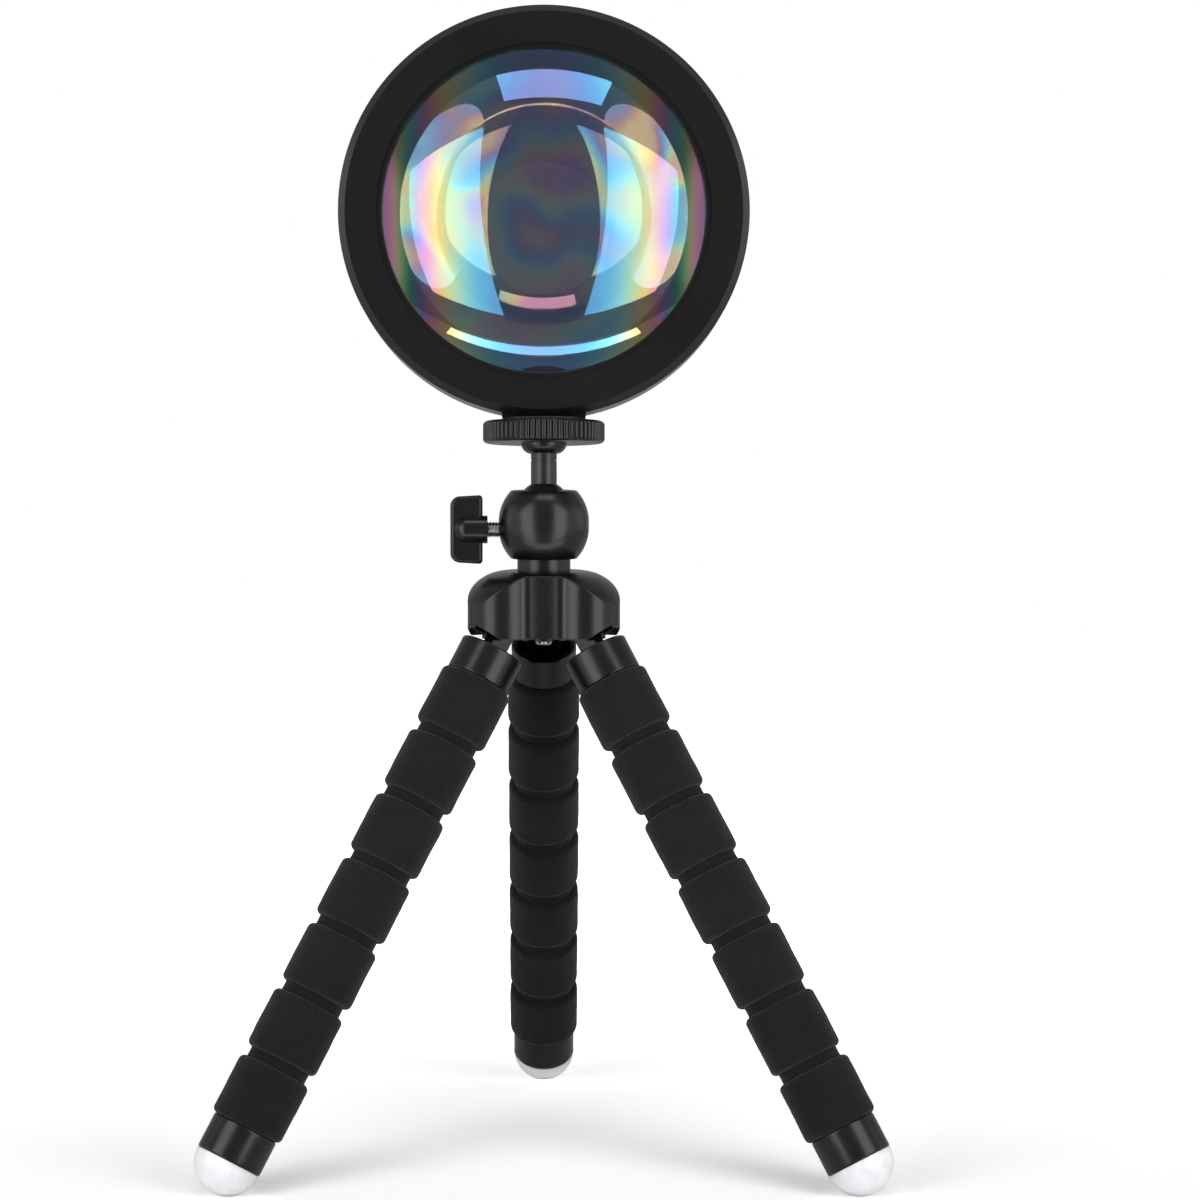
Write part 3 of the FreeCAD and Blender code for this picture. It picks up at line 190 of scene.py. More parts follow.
# %% [markdown]
# ## Moulded black plastic
#
# The hub, the ball housing, the knob, the wheel and the collars are ABS, moulded in a tool whose
# walls were spark eroded to a fine satin. The eye sees a soft vertical sheen where a lamp is
# mirrored, a faint orange peel, and tiny differences in gloss where hands have polished it.
# The grain is really about 0.1 mm. It is drawn at 0.3 mm, so that it shows in the picture.

# %% Satin ABS for the tripod
def satin_abs():
    """ABS, moulded in a fine satin tool: soft broad highlights and a faint orange peel."""
    finish, shader, place = new_finish("moulded_abs_satin_black")
    grain = add_node(finish, "ShaderNodeTexNoise",
                     {"Vector": place, "Scale": 1 / (0.3 * MM), "Detail": 3.0})
    peel = add_node(finish, "ShaderNodeTexNoise", {"Vector": place, "Scale": 1 / (3 * MM)})
    handling = add_node(finish, "ShaderNodeTexNoise",
                        {"Vector": place, "Scale": 1 / (14 * MM), "Detail": 4.0})
    fine = add_node(finish, "ShaderNodeBump", {"Height": grain, "Distance": 0.004 * MM})
    fill_in(finish, shader, {
        "Base Color": add_node(finish, "ShaderNodeValToRGB", {"Fac": peel},
                               stops=((0.3, "08080a"), (0.7, "0d0d0e"))),
        "Roughness": add_node(finish, "ShaderNodeMapRange",
                              {"Value": handling, "To Min": 0.23, "To Max": 0.31}),
        "Normal": add_node(finish, "ShaderNodeBump",
                           {"Height": peel, "Distance": 0.01 * MM, "Normal": fine}),
        "Specular IOR Level": 0.3,
    })
    return finish

# %% [markdown]
# The head is moulded in a coarser texture and looks more matt. Its face shows almost no
# highlight, only a fine grain. Seen at a slant, as on the bevel at its rim, such a surface
# mirrors more: a faint coat that grows with the slant gives the thin bright line there.

# %% Matt ABS for the head
def matt_abs():
    """ABS, moulded in a coarse spark-eroded tool: an even matt black with a fine grain."""
    finish, shader, place = new_finish("moulded_abs_matt_black")
    grain = add_node(finish, "ShaderNodeTexNoise",
                     {"Vector": place, "Scale": 1 / (0.45 * MM), "Detail": 4.0, "Roughness": 0.6})
    cloud = add_node(finish, "ShaderNodeTexNoise",
                     {"Vector": place, "Scale": 1 / (22 * MM), "Detail": 3.0})
    slant = add_node(finish, "ShaderNodeLayerWeight", {"Blend": 0.5}).outputs["Facing"]
    fill_in(finish, shader, {
        "Base Color": add_node(finish, "ShaderNodeValToRGB", {"Fac": cloud},
                               stops=((0.3, "070707"), (0.7, "0b0b0c"))),
        "Roughness": add_node(finish, "ShaderNodeMapRange",
                              {"Value": cloud, "To Min": 0.46, "To Max": 0.56}),
        "Normal": add_node(finish, "ShaderNodeBump", {"Height": grain, "Distance": 0.02 * MM}),
        "Specular IOR Level": 0.14,
        "Coat Weight": add_node(finish, "ShaderNodeMapRange", {
            "Value": slant, "From Min": 0.12, "From Max": 0.35, "To Max": 0.8,
        }),
        "Coat Roughness": 0.22,
    })
    return finish


# %% Dull plastic and rubber, mostly out of sight
def dull_finish(name, dark, light, grain_size, depth, roughness):
    """A black that swallows light: its grain shows only as a faint unevenness."""
    finish, shader, place = new_finish(name)
    grain = add_node(finish, "ShaderNodeTexNoise",
                     {"Vector": place, "Scale": 1 / grain_size, "Detail": 4.0, "Roughness": 0.6})
    fill_in(finish, shader, {
        "Base Color": add_node(finish, "ShaderNodeValToRGB", {"Fac": grain},
                               stops=((0.3, dark), (0.7, light))),
        "Normal": add_node(finish, "ShaderNodeBump", {"Height": grain, "Distance": depth}),
        "Roughness": roughness,
    })
    return finish

# %% [markdown]
# ## Metals
#
# The stem is steel under a thin black coat, so it shines more sharply than the plastic beside
# it. The clamp screw, the middle bolt and the pins are plated steel, the insert in the head is
# brass, and the heat sink is cut from aluminium. Their colour and gloss wander a little with
# their tool marks.

# %% Coated and plain metals
def coated_steel():
    """Black oxide on turned steel: the ball and its stem."""
    finish, shader, place = new_finish("black_oxide_steel")
    marks = add_node(finish, "ShaderNodeTexNoise",
                     {"Vector": place, "Scale": 1 / (0.25 * MM), "Detail": 3.0})
    wear = add_node(finish, "ShaderNodeTexNoise",
                    {"Vector": place, "Scale": 1 / (4 * MM), "Detail": 4.0})
    fill_in(finish, shader, {
        "Base Color": add_node(finish, "ShaderNodeValToRGB", {"Fac": wear},
                               stops=((0.35, "1b1b1d"), (0.7, "2a2a2d"))),
        "Roughness": add_node(finish, "ShaderNodeMapRange",
                              {"Value": wear, "To Min": 0.28, "To Max": 0.38}),
        "Normal": add_node(finish, "ShaderNodeBump", {"Height": marks, "Distance": 0.003 * MM}),
        "Metallic": 0.4,
    })
    return finish


def plain_metal(name, dark, light, smooth, rough, grain_size):
    """A bare or plated metal, with fine marks of the tool that cut it."""
    finish, shader, place = new_finish(name)
    marks = add_node(finish, "ShaderNodeTexNoise",
                     {"Vector": place, "Scale": 1 / grain_size, "Detail": 4.0, "Roughness": 0.6})
    fill_in(finish, shader, {
        "Base Color": add_node(finish, "ShaderNodeValToRGB", {"Fac": marks},
                               stops=((0.3, dark), (0.7, light))),
        "Roughness": add_node(finish, "ShaderNodeMapRange",
                              {"Value": marks, "To Min": smooth, "To Max": rough}),
        "Normal": add_node(finish, "ShaderNodeBump", {"Height": marks, "Distance": 0.004 * MM}),
        "Metallic": 1.0,
    })
    return finish

# %% [markdown]
# ## Foam
#
# The legs are covered in closed-cell foam rubber, the kind on bicycle grips. It was blown as a
# tube and ground to size, which cut its cells open: seen close up it is a mat of pin-prick pores,
# a fraction of a millimetre across, and it hardly shines. The pores are drawn as a bump, while
# the uneven swell of each bead is real shape. A little sheen gives the soft pale edge of foam.

# %% Ground foam rubber
def ground_foam(name, dark, light):
    """Closed-cell foam rubber, ground to size: open pores and no gloss."""
    finish, shader, place = new_finish(name)
    pores = add_node(finish, "ShaderNodeTexVoronoi", {"Vector": place, "Scale": 1 / (0.42 * MM)})
    dust = add_node(finish, "ShaderNodeTexNoise",
                    {"Vector": place, "Scale": 1 / (0.5 * MM), "Detail": 3.0, "Roughness": 0.6})
    patch = add_node(finish, "ShaderNodeTexNoise",
                     {"Vector": place, "Scale": 1 / (9 * MM), "Detail": 3.0})
    mottle = add_node(finish, "ShaderNodeMath", {0: dust, 1: patch}, operation="MULTIPLY")
    cells = add_node(finish, "ShaderNodeBump", {"Height": pores, "Distance": 0.12 * MM})
    fill_in(finish, shader, {
        "Base Color": add_node(finish, "ShaderNodeValToRGB", {"Fac": mottle},
                               stops=((0.15, dark), (0.4, light))),
        "Normal": add_node(finish, "ShaderNodeBump",
                           {"Height": dust, "Distance": 0.12 * MM, "Normal": cells}),
        "Roughness": 0.92,
        "Specular IOR Level": 0.2,
        "Sheen Weight": 0.1,
        "Sheen Roughness": 0.45,
    })
    return finish

# %% [markdown]
# ## Milky rubber feet
#
# The feet are a clear thermoplastic rubber. Light goes a few millimetres into it and comes out
# again, so they look milky and show no hard shadow inside. Their skin is smooth enough for a
# dim highlight.

# %% Translucent rubber
def milky_rubber():
    """Thermoplastic rubber without pigment: light scatters inside it."""
    finish, shader, place = new_finish("thermoplastic_rubber_milky")
    haze = add_node(finish, "ShaderNodeTexNoise", {"Vector": place, "Scale": 1 / (3 * MM)})
    fill_in(finish, shader, {
        "Base Color": add_node(finish, "ShaderNodeValToRGB", {"Fac": haze},
                               stops=((0.3, "dfdfe2"), (0.7, "ececee"))),
        "Normal": add_node(finish, "ShaderNodeBump", {"Height": haze, "Distance": 0.02 * MM}),
        "Roughness": 0.34,
        "IOR": 1.48,
        "Subsurface Weight": 0.7,
        "Subsurface Radius": (1.0, 1.0, 1.0),
        "Subsurface Scale": 2.5 * MM,
    })
    return finish

# %% [markdown]
# ## The coated lens
#
# The lens is thick glass with a coating a few hundred nanometres thin. Light mirrored from the
# coating's two faces adds up for some colours and cancels for others, so what colour a lamp has
# in the glass depends on the coating's thickness there. On this lens it grows faster and faster
# from the middle to the left and right rim, which gives bands from cyan through green, yellow
# and pink to violet. Up and down it grows less, so the bands are long upright ellipses. The rear
# face has an uneven coating, and gives the dim green and purple clouds in the middle.

# %% Glass with a coating that thickens to both sides, or lies in clouds
LENS_LOW, LENS_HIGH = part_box("lens")
LENS_GLASS_RADIUS = (LENS_HIGH.x - LENS_LOW.x) / 2
BAND_INDEX = 1.85
BAND_COATING = (158.0, 570.0)    # nanometres, at the middle and at the left and right rim
BAND_POWER = 3.0                 # the coating grows with this power of the way out
BAND_UPRIGHT = 0.38              # up and down, the way out counts this much
CLOUD_INDEX = 1.75
CLOUD_COATING = (180.0, 460.0)   # nanometres, thinnest and thickest
CLOUD_SIZE = 17 * MM


def coated_glass(name, clouded):
    """Optical glass with an interference coating, in upright bands or in clouds."""
    finish, shader, place = new_finish(name)
    centred = add_node(finish, "ShaderNodeMapping",
                       {"Vector": place, "Location": -middle("lens")})
    if clouded:
        cloud = add_node(finish, "ShaderNodeTexNoise",
                         {"Vector": centred, "Scale": 1 / CLOUD_SIZE, "Detail": 1.0})
        coating = add_node(finish, "ShaderNodeMapRange", {
            "Value": cloud, "From Min": 0.3, "From Max": 0.7,
            "To Min": CLOUD_COATING[0], "To Max": CLOUD_COATING[1],
        })
    else:
        aside = add_node(finish, "ShaderNodeVectorMath", {0: centred, 1: lens_line},
                         operation="CROSS_PRODUCT")
        aside = add_node(finish, "ShaderNodeVectorMath",
                         {0: aside, 1: (BAND_UPRIGHT, 1.0, 1.0)}, operation="MULTIPLY")
        reach = add_node(finish, "ShaderNodeVectorMath", {0: aside}, operation="LENGTH")
        way_out = add_node(finish, "ShaderNodeMath", {
            0: reach.outputs["Value"], 1: LENS_GLASS_RADIUS,
        }, operation="DIVIDE")
        growth = add_node(finish, "ShaderNodeMath", {0: way_out, 1: BAND_POWER}, operation="POWER")
        coating = add_node(finish, "ShaderNodeMapRange", {
            "Value": growth, "To Min": BAND_COATING[0], "To Max": BAND_COATING[1],
        })
    fill_in(finish, shader, {
        "Base Color": linear("ffffff"),
        "Roughness": 0.0,
        "IOR": 1.52,
        "Transmission Weight": 1.0,
        "Thin Film Thickness": coating,
        "Thin Film IOR": CLOUD_INDEX if clouded else BAND_INDEX,
    })
    return finish

# %% [markdown]
# The inner parts are hardly seen, yet each has its own finish. The boards are green under their
# solder mask, and the disc that tints the beam is dichroic glass, whose colour wanders a little.

# %% Boards and the tinting disc
def circuit_board():
    """Fibreglass board under a dark green mask, with the faint weave of the glass cloth."""
    finish, shader, place = new_finish("fibreglass_board_green")
    weave = add_node(finish, "ShaderNodeTexWave",
                     {"Vector": place, "Scale": 1 / (1.2 * MM), "Distortion": 1.5})
    fill_in(finish, shader, {
        "Base Color": add_node(finish, "ShaderNodeValToRGB", {"Fac": weave},
                               stops=((0.2, "0c3a22"), (0.8, "12502e"))),
        "Roughness": 0.35,
    })
    return finish


def dichroic_disc():
    """Thin glass disc that lets one tint through and mirrors the others."""
    finish, shader, place = new_finish("dichroic_glass_disc")
    tint = add_node(finish, "ShaderNodeTexNoise", {"Vector": place, "Scale": 1 / (9 * MM)})
    fill_in(finish, shader, {
        "Base Color": add_node(finish, "ShaderNodeValToRGB", {"Fac": tint},
                               stops=((0.3, "1a1322"), (0.5, "121f1c"), (0.7, "221a13"))),
        "Roughness": 0.12,
        "Coat Weight": 0.6,
        "Coat Roughness": 0.1,
    })
    return finish

# %% [markdown]
# ## Giving the solids their finishes
#
# The record names a material slot for each solid, and each slot gets one finish. The packed
# meshes already carry smooth normals from their curved faces, so only the material changes.

# %% One finish for each material slot
finishes = {
    "black_plastic": satin_abs(),
    "head_plastic": matt_abs(),
    "inner_plastic": dull_finish("dull_abs_black", "0e0e10", "1a1a1c", 1.2 * MM, 0.03 * MM, 0.62),
    "black_rubber": dull_finish("nitrile_rubber_black", "111112", "1e1e1f", 1.5 * MM,
                                0.015 * MM, 0.7),
    "black_metal": coated_steel(),
    "steel": plain_metal("zinc_plated_steel", "8e8f92", "c2c3c6", 0.18, 0.32, 0.3 * MM),
    "brass": plain_metal("turned_brass", "9c7a3c", "c9a45c", 0.22, 0.36, 0.3 * MM),
    "aluminium": plain_metal("extruded_aluminium", "a3a5a8", "c4c6c9", 0.3, 0.45, 0.5 * MM),
    "socket_metal": plain_metal("nickel_plated_socket", "9a9b9e", "bfc0c3", 0.2, 0.3, 0.4 * MM),
    "copper_lead": plain_metal("tinned_copper_lead", "8f4a2c", "b8714e", 0.3, 0.45, 0.6 * MM),
    "black_foam": ground_foam("ground_foam_rubber_black", "09090a", "121214"),
    # the necks' foam is darker than the beads': a painted shade for the bottom of the grooves
    "foam_spine": ground_foam("groove_foam_darkened_for_painted_shade", "070708", "0f0f10"),
    "clear_rubber": milky_rubber(),
    "lens_glass": coated_glass("optical_glass_ring_coating", clouded=False),
    "filter_glass": dichroic_disc(),
    "board": circuit_board(),
}
cloud_glass = coated_glass("optical_glass_cloud_coating", clouded=True)

slot_of = {}
for subpart in frame["record"]["subparts"]:
    slot_of[subpart["node"]] = subpart["material_slot"]
for node, solid in frame["nodes"].items():
    for place in solid.material_slots:
        place.material = finishes[slot_of[node]]
print("finishes given to", len(frame["nodes"]), "solids")

# %% [markdown]
# ## Helpers for modelling
#
# A mesh operator works on whatever is selected, so each step first clears the selection and
# then picks corners, edges or faces by their place. A finished piece keeps its own mesh, with
# its place in the mesh and its object at the origin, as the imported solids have.

# %% Select, place and finish a piece
def open_piece(piece):
    """Selects only this piece and opens it for editing, with nothing picked."""
    bpy.ops.object.select_all(action="DESELECT")
    piece.select_set(True)
    bpy.context.view_layer.objects.active = piece
    bpy.ops.object.mode_set(mode="EDIT")
    bpy.ops.mesh.select_all(action="DESELECT")


def close_piece():
    """Ends editing."""
    bpy.ops.object.mode_set(mode="OBJECT")


def pick(piece, kind, wanted):
    """Picks the corners (VERT), edges (EDGE) or faces (FACE) that pass a test."""
    bpy.ops.mesh.select_mode(type=kind)
    bpy.ops.mesh.select_all(action="DESELECT")
    shape = bmesh.from_edit_mesh(piece.data)
    found = {"VERT": shape.verts, "EDGE": shape.edges, "FACE": shape.faces}[kind]
    for item in found:
        item.select_set(wanted(item))
    bmesh.update_edit_mesh(piece.data)


def heights(edge):
    """The lower and the higher end of an edge."""
    return sorted(corner.co.z for corner in edge.verts)


def apply_modifiers(piece):
    """Applies every modifier of the piece, in order."""
    bpy.ops.object.select_all(action="DESELECT")
    piece.select_set(True)
    bpy.context.view_layer.objects.active = piece
    for modifier in list(piece.modifiers):
        bpy.ops.object.modifier_apply(modifier=modifier.name)


def placed_copy(model, name, place):
    """A copy with its own mesh, moved by a matrix that goes into the mesh."""
    mesh = model.data.copy()
    mesh.name = name
    mesh.transform(place)
    piece = bpy.data.objects.new(name, mesh)
    bpy.context.scene.collection.objects.link(piece)
    return piece


def dress(piece, finish):
    """Gives a piece one finish."""
    piece.data.materials.clear()
    piece.data.materials.append(finish)


def smooth(piece, angle=35.0):
    """Rounds the shading over every edge that turns less than the angle."""
    bpy.ops.object.select_all(action="DESELECT")
    piece.select_set(True)
    bpy.context.view_layer.objects.active = piece
    bpy.ops.object.shade_smooth_by_angle(angle=math.radians(angle))


def measure_along(node, start, direction):
    """How far a solid reaches along a line, from and to, and how far out from it."""
    offsets = [vertex.co - start for vertex in frame["nodes"][node].data.vertices]
    along = [offset.dot(direction) for offset in offsets]
    out = [(offset - direction * reach).length for offset, reach in zip(offsets, along)]
    return min(along), max(along), max(out)

# %% [markdown]
# ## The foam beads
#
# Each leg wears one long foam sleeve that was grooved every 17.5 mm, so that it reads as seven
# beads. The groove's lips are round and a little uneven, because foam tears and swells as it is
# ground. A cylinder gets round ends from a bevel and many rings from a subdivision, and is then
# copied to its 21 places. Only there is it displaced, so that no two beads are alike: by broad
# clouds for the swell, and by fine ones for the cut cells. Stuffing it by a cloth simulation
# would blow it up between its ends, which ground foam doesn't do.

# %% One bead as a pattern
BEAD_SIDES = 160
BEAD_RINGS = 34
LIP_ROUND = 1.4 * MM
LIP_STEPS = 6
CAP_INSET = 2.5 * MM

first_bead = middle("leg_left_ring_1")
bead_low, bead_high, BEAD_RADIUS = measure_along("leg_left_ring_1", first_bead, leg_line["left"])
BEAD_LENGTH = bead_high - bead_low
GROOVE_WIDTH = BEAD_PITCH - BEAD_LENGTH
print("bead in millimetres", round(BEAD_LENGTH / MM, 2), "long,", round(BEAD_RADIUS / MM, 2),
      "in radius, grooves", round(GROOVE_WIDTH / MM, 2))

bpy.ops.object.select_all(action="DESELECT")
bpy.ops.mesh.primitive_cylinder_add(vertices=BEAD_SIDES, radius=BEAD_RADIUS, depth=BEAD_LENGTH,
                                    end_fill_type="NGON")
bead_model = bpy.context.object
open_piece(bead_model)
pick(bead_model, "EDGE", lambda edge: heights(edge)[1] - heights(edge)[0] < LIP_ROUND)
bpy.ops.mesh.bevel(offset=LIP_ROUND, segments=LIP_STEPS, affect="EDGES")
pick(bead_model, "EDGE", lambda edge: heights(edge)[1] - heights(edge)[0] > BEAD_LENGTH / 2)
bpy.ops.mesh.subdivide(number_cuts=BEAD_RINGS)
pick(bead_model, "FACE", lambda face: abs(face.normal.z) > 0.999)
bpy.ops.mesh.inset(thickness=CAP_INSET, use_individual=True)
close_piece()
print("a bead has", len(bead_model.data.polygons), "faces")

# %% Twenty-one beads, each displaced in its own place
SWELL_SIZE = 7 * MM
SWELL_DEPTH = 0.28 * MM
CELL_SIZE = 0.7 * MM
CELL_DEPTH = 0.1 * MM

swell = bpy.data.textures.new("foam_swell", "CLOUDS")
swell.noise_scale = SWELL_SIZE
swell.noise_depth = 1
cells = bpy.data.textures.new("foam_cells", "CLOUDS")
cells.noise_scale = CELL_SIZE
cells.noise_depth = 2


def roughen(piece, texture, depth):
    """Pushes a surface in and out by a cloud pattern that stands still in space."""
    bumps = piece.modifiers.new(texture.name, "DISPLACE")
    bumps.texture = texture
    bumps.texture_coords = "LOCAL"
    bumps.strength = depth
    bumps.mid_level = 0.5


for side in SIDES:
    turn = looking_along(leg_line[side])
    for number in BEADS:
        node = f"leg_{side}_ring_{number}"
        bead = placed_copy(bead_model, f"foam_bead_{side}_{number}",
                           Matrix.Translation(middle(node)) @ turn)
        roughen(bead, swell, SWELL_DEPTH)
        roughen(bead, cells, CELL_DEPTH)
        apply_modifiers(bead)
        smooth(bead, angle=50.0)
        dress(bead, finishes["black_foam"])
        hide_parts(node)
        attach(bead, bead_body(side, number))
bpy.data.objects.remove(bead_model)

# %% [markdown]
# ## The necks in the grooves
#
# In a groove the foam goes on, thinner, round the bendable rod. Its finish is darker than the
# beads': a painted shade for the bottom of the groove. When the real leg bends, the foam there
# stretches outside and folds inside; each neck here is made once, where the leg stands at rest,
# and is attached to no bead. Its ends reach a little way into the beads, so that no gap opens.

# %% Necks in the grooves, made where the leg stands at rest
NECK_RADIUS = 7.8 * MM
NECK_OVERLAP = 2.0 * MM
NECK_SIDES = 128
NECK_RINGS = 16
NECK_WAIST = 0.25 * MM
SAME_HEIGHT = 0.01 * MM
NECK_LENGTH = GROOVE_WIDTH + 2 * NECK_OVERLAP

bpy.ops.object.select_all(action="DESELECT")
bpy.ops.mesh.primitive_cylinder_add(vertices=NECK_SIDES, radius=NECK_RADIUS, depth=NECK_LENGTH,
                                    end_fill_type="NGON")
neck_model = bpy.context.object
open_piece(neck_model)
pick(neck_model, "EDGE", lambda edge: heights(edge)[1] - heights(edge)[0] > NECK_LENGTH / 2)
bpy.ops.mesh.subdivide(number_cuts=NECK_RINGS)
for ring in range(1, NECK_RINGS + 1):
    height = NECK_LENGTH * (ring / (NECK_RINGS + 1) - 0.5)
    waist = NECK_WAIST * math.cos(math.pi * height / NECK_LENGTH)
    pick(neck_model, "VERT", lambda corner: abs(corner.co.z - height) < SAME_HEIGHT)
    narrow = 1 - waist / NECK_RADIUS
    bpy.ops.transform.resize(value=(narrow, narrow, 1.0))
close_piece()

for side in SIDES:
    for number in BEADS[:-1]:
        groove = (middle(f"leg_{side}_ring_{number}") + middle(f"leg_{side}_ring_{number + 1}")) / 2
        neck = placed_copy(neck_model, f"foam_neck_{side}_{number}",
                           Matrix.Translation(groove) @ looking_along(leg_line[side]))
        roughen(neck, cells, CELL_DEPTH)
        apply_modifiers(neck)
        smooth(neck, angle=50.0)
        # the darker finish of the necks is a painted shade for the groove
        dress(neck, finishes["foam_spine"])
        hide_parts(f"leg_{side}_spine")
        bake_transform(neck)
bpy.data.objects.remove(neck_model)

# %% [markdown]
# ## The rubber feet
#
# Each foot is a hollow-looking milky dome, cut off flat where it stands, with a thin lip that
# shows as a pale line under its collar. It starts as a ball that a bisect trims above the
# collar, gets its lip by an extrusion, and is trimmed once more at the floor, in its place.

# %% Milky feet with a lip
FOOT_SEGMENTS = 96
FOOT_RINGS = 64
LIP_HEIGHT = 0.35 * MM
LIP_PROUD = 0.12 * MM

for side in SIDES:
    tip = f"leg_{side}_foot_tip"
    collar_end = measure_along(f"leg_{side}_foot_collar", middle(f"leg_{side}_ring_1"),
                               leg_line[side])[1]
    dome_middle = middle(f"leg_{side}_ring_1") + leg_line[side] * collar_end
    foot_radius = measure_along(tip, dome_middle, leg_line[side])[2]
    bpy.ops.object.select_all(action="DESELECT")
    bpy.ops.mesh.primitive_uv_sphere_add(segments=FOOT_SEGMENTS, ring_count=FOOT_RINGS,
                                         radius=foot_radius)
    foot = bpy.context.object
    foot.name = f"milky_foot_{side}"
    foot.data.name = foot.name
    open_piece(foot)
    bpy.ops.mesh.select_all(action="SELECT")
    bpy.ops.mesh.bisect(plane_co=(0, 0, LIP_HEIGHT), plane_no=(0, 0, 1), clear_inner=True,
                        use_fill=True)
    pick(foot, "FACE", lambda face: face.normal.z < -0.99)
    grow = 1 + LIP_PROUD / foot_radius
    bpy.ops.mesh.extrude_region_move(TRANSFORM_OT_translate={"value": (0, 0, -LIP_HEIGHT)})
    bpy.ops.transform.resize(value=(grow, grow, 1.0))
    close_piece()
    foot.data.transform(Matrix.Translation(dome_middle) @ looking_along(leg_line[side]))
    open_piece(foot)
    bpy.ops.mesh.select_all(action="SELECT")
    bpy.ops.mesh.bisect(plane_co=(0, 0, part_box(tip)[0].z), plane_no=(0, 0, 1),
                        clear_inner=True, use_fill=True)
    bpy.ops.mesh.select_all(action="SELECT")
    bpy.ops.mesh.normals_make_consistent(inside=False)
    close_piece()
    smooth(foot, angle=30.0)
    dress(foot, finishes["clear_rubber"])
    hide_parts(tip)
    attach(foot, bead_body(side, BEADS[-1]))
print("feet of radius", round(foot_radius / MM, 2), "mm")

# %% [markdown]
# ## The lens
#
# The lens is one thick piece of glass: a dome, a stepped rim that its ring holds, and a flatter
# bulge behind. The bulge mirrors the studio once more, upside down and dimmer. Reflections show
# every facet of a dome, so it isn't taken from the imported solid. Its outline, an arc of a large
# circle with the rim and the rear arc drawn on, is spun round the lens axis.

# %% Spin the lens from its outline
DOME_BASE_RADIUS = 39.3 * MM
DOME_HEIGHT = 13.0 * MM
LENS_STEP = 1.05 * MM            # upright, inside the lip of the ring
LENS_RIM_EDGE = 3.2 * MM
REAR_BASE_RADIUS = 38.6 * MM
ARC_CORNERS = 720
REAR_STEPS = 120
SPIN_STEPS = 192
SAME_CORNER = 0.001 * MM

lens_up = measure_along("front_bezel", ball_middle, stem_line)
head_middle = ball_middle + stem_line * (lens_up[0] + lens_up[1]) / 2
lens_back, lens_front, LENS_RADIUS = measure_along("lens", head_middle, lens_line)
RIM_BACK = -LENS_STEP - LENS_RIM_EDGE
REAR_HEIGHT = lens_front - lens_back - DOME_HEIGHT + RIM_BACK
DOME_SPHERE = (DOME_BASE_RADIUS ** 2 + DOME_HEIGHT ** 2) / (2 * DOME_HEIGHT)
REAR_SPHERE = (REAR_BASE_RADIUS ** 2 + REAR_HEIGHT ** 2) / (2 * REAR_HEIGHT)
print("spheres of the lens in millimetres, front and rear",
      round(DOME_SPHERE / MM, 1), round(REAR_SPHERE / MM, 1))

bpy.ops.object.select_all(action="DESELECT")
bpy.ops.mesh.primitive_circle_add(vertices=ARC_CORNERS, radius=DOME_SPHERE,
                                  location=(0, 0, DOME_HEIGHT - DOME_SPHERE),
                                  rotation=(math.radians(90), 0, 0))
lens = bpy.context.object
lens.name = "domed_lens"
lens.data.name = lens.name
bpy.ops.object.transform_apply(location=True, rotation=True, scale=False)
open_piece(lens)
pick(lens, "VERT", lambda corner: corner.co.z < 0 or corner.co.x < -0.01 * MM)
bpy.ops.mesh.delete(type="VERT")
outline = [(DOME_BASE_RADIUS, -LENS_STEP), (LENS_RADIUS, -LENS_STEP), (LENS_RADIUS, RIM_BACK)]
for step in range(REAR_STEPS + 1):
    radius = REAR_BASE_RADIUS * (1 - step / REAR_STEPS)
    rise = math.sqrt(REAR_SPHERE ** 2 - radius ** 2) - (REAR_SPHERE - REAR_HEIGHT)
    outline.append((radius, RIM_BACK - rise))
shape = bmesh.from_edit_mesh(lens.data)
tail = max(shape.verts, key=lambda corner: corner.co.x)
tail.co = Vector((DOME_BASE_RADIUS, 0.0, 0.0))
here = tail.co.copy()
bmesh.update_edit_mesh(lens.data)
for radius, height in outline:
    pick(lens, "VERT", lambda corner: (corner.co - here).length < SAME_CORNER)
    step = Vector((radius, 0.0, height)) - here
    bpy.ops.mesh.extrude_region_move(TRANSFORM_OT_translate={"value": step})
    here = here + step
bpy.ops.mesh.select_all(action="SELECT")
bpy.ops.mesh.spin(steps=SPIN_STEPS, angle=2 * math.pi, center=(0, 0, 0), axis=(0, 0, 1))
bpy.ops.mesh.select_all(action="SELECT")
bpy.ops.mesh.remove_doubles(threshold=SAME_CORNER)
bpy.ops.mesh.normals_make_consistent(inside=False)
close_piece()
lens.data.transform(Matrix.Translation(head_middle + lens_line * (lens_front - DOME_HEIGHT))
                    @ looking_along(lens_line))
smooth(lens, angle=15.0)
dress(lens, finishes["lens_glass"])
lens.data.materials.append(cloud_glass)
for face in lens.data.polygons:
    face.material_index = 1 if face.normal.dot(lens_line) < -0.9 else 0
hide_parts("lens")
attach(lens, "head")
print("the lens has", len(lens.data.polygons), "faces")

# %% [markdown]
# ## The clamp screw
#
# Three bright threads show between the knob and the ball housing. A thread is a small V that
# climbs round the shank by one pitch a turn, which is what the Screw modifier does: a V of two
# edges is swept up by 0.7 mm for each of its turns.

# %% A rolled thread, swept by the Screw modifier
THREAD_PITCH = 0.7 * MM
THREAD_DEPTH = 0.42 * MM
THREAD_STEPS = 40
THREAD_SEAM = 0.002 * MM         # corners of neighbouring turns that are the same

clamp = joint_named("clamp_turn")
clamp_line = Vector(clamp["axis"])
clamp_start = Vector(clamp["pos_m"])
screw_from, screw_to, SCREW_RADIUS = measure_along("clamp_screw", clamp_start, clamp_line)
turns = int((screw_to - screw_from) / THREAD_PITCH) - 1

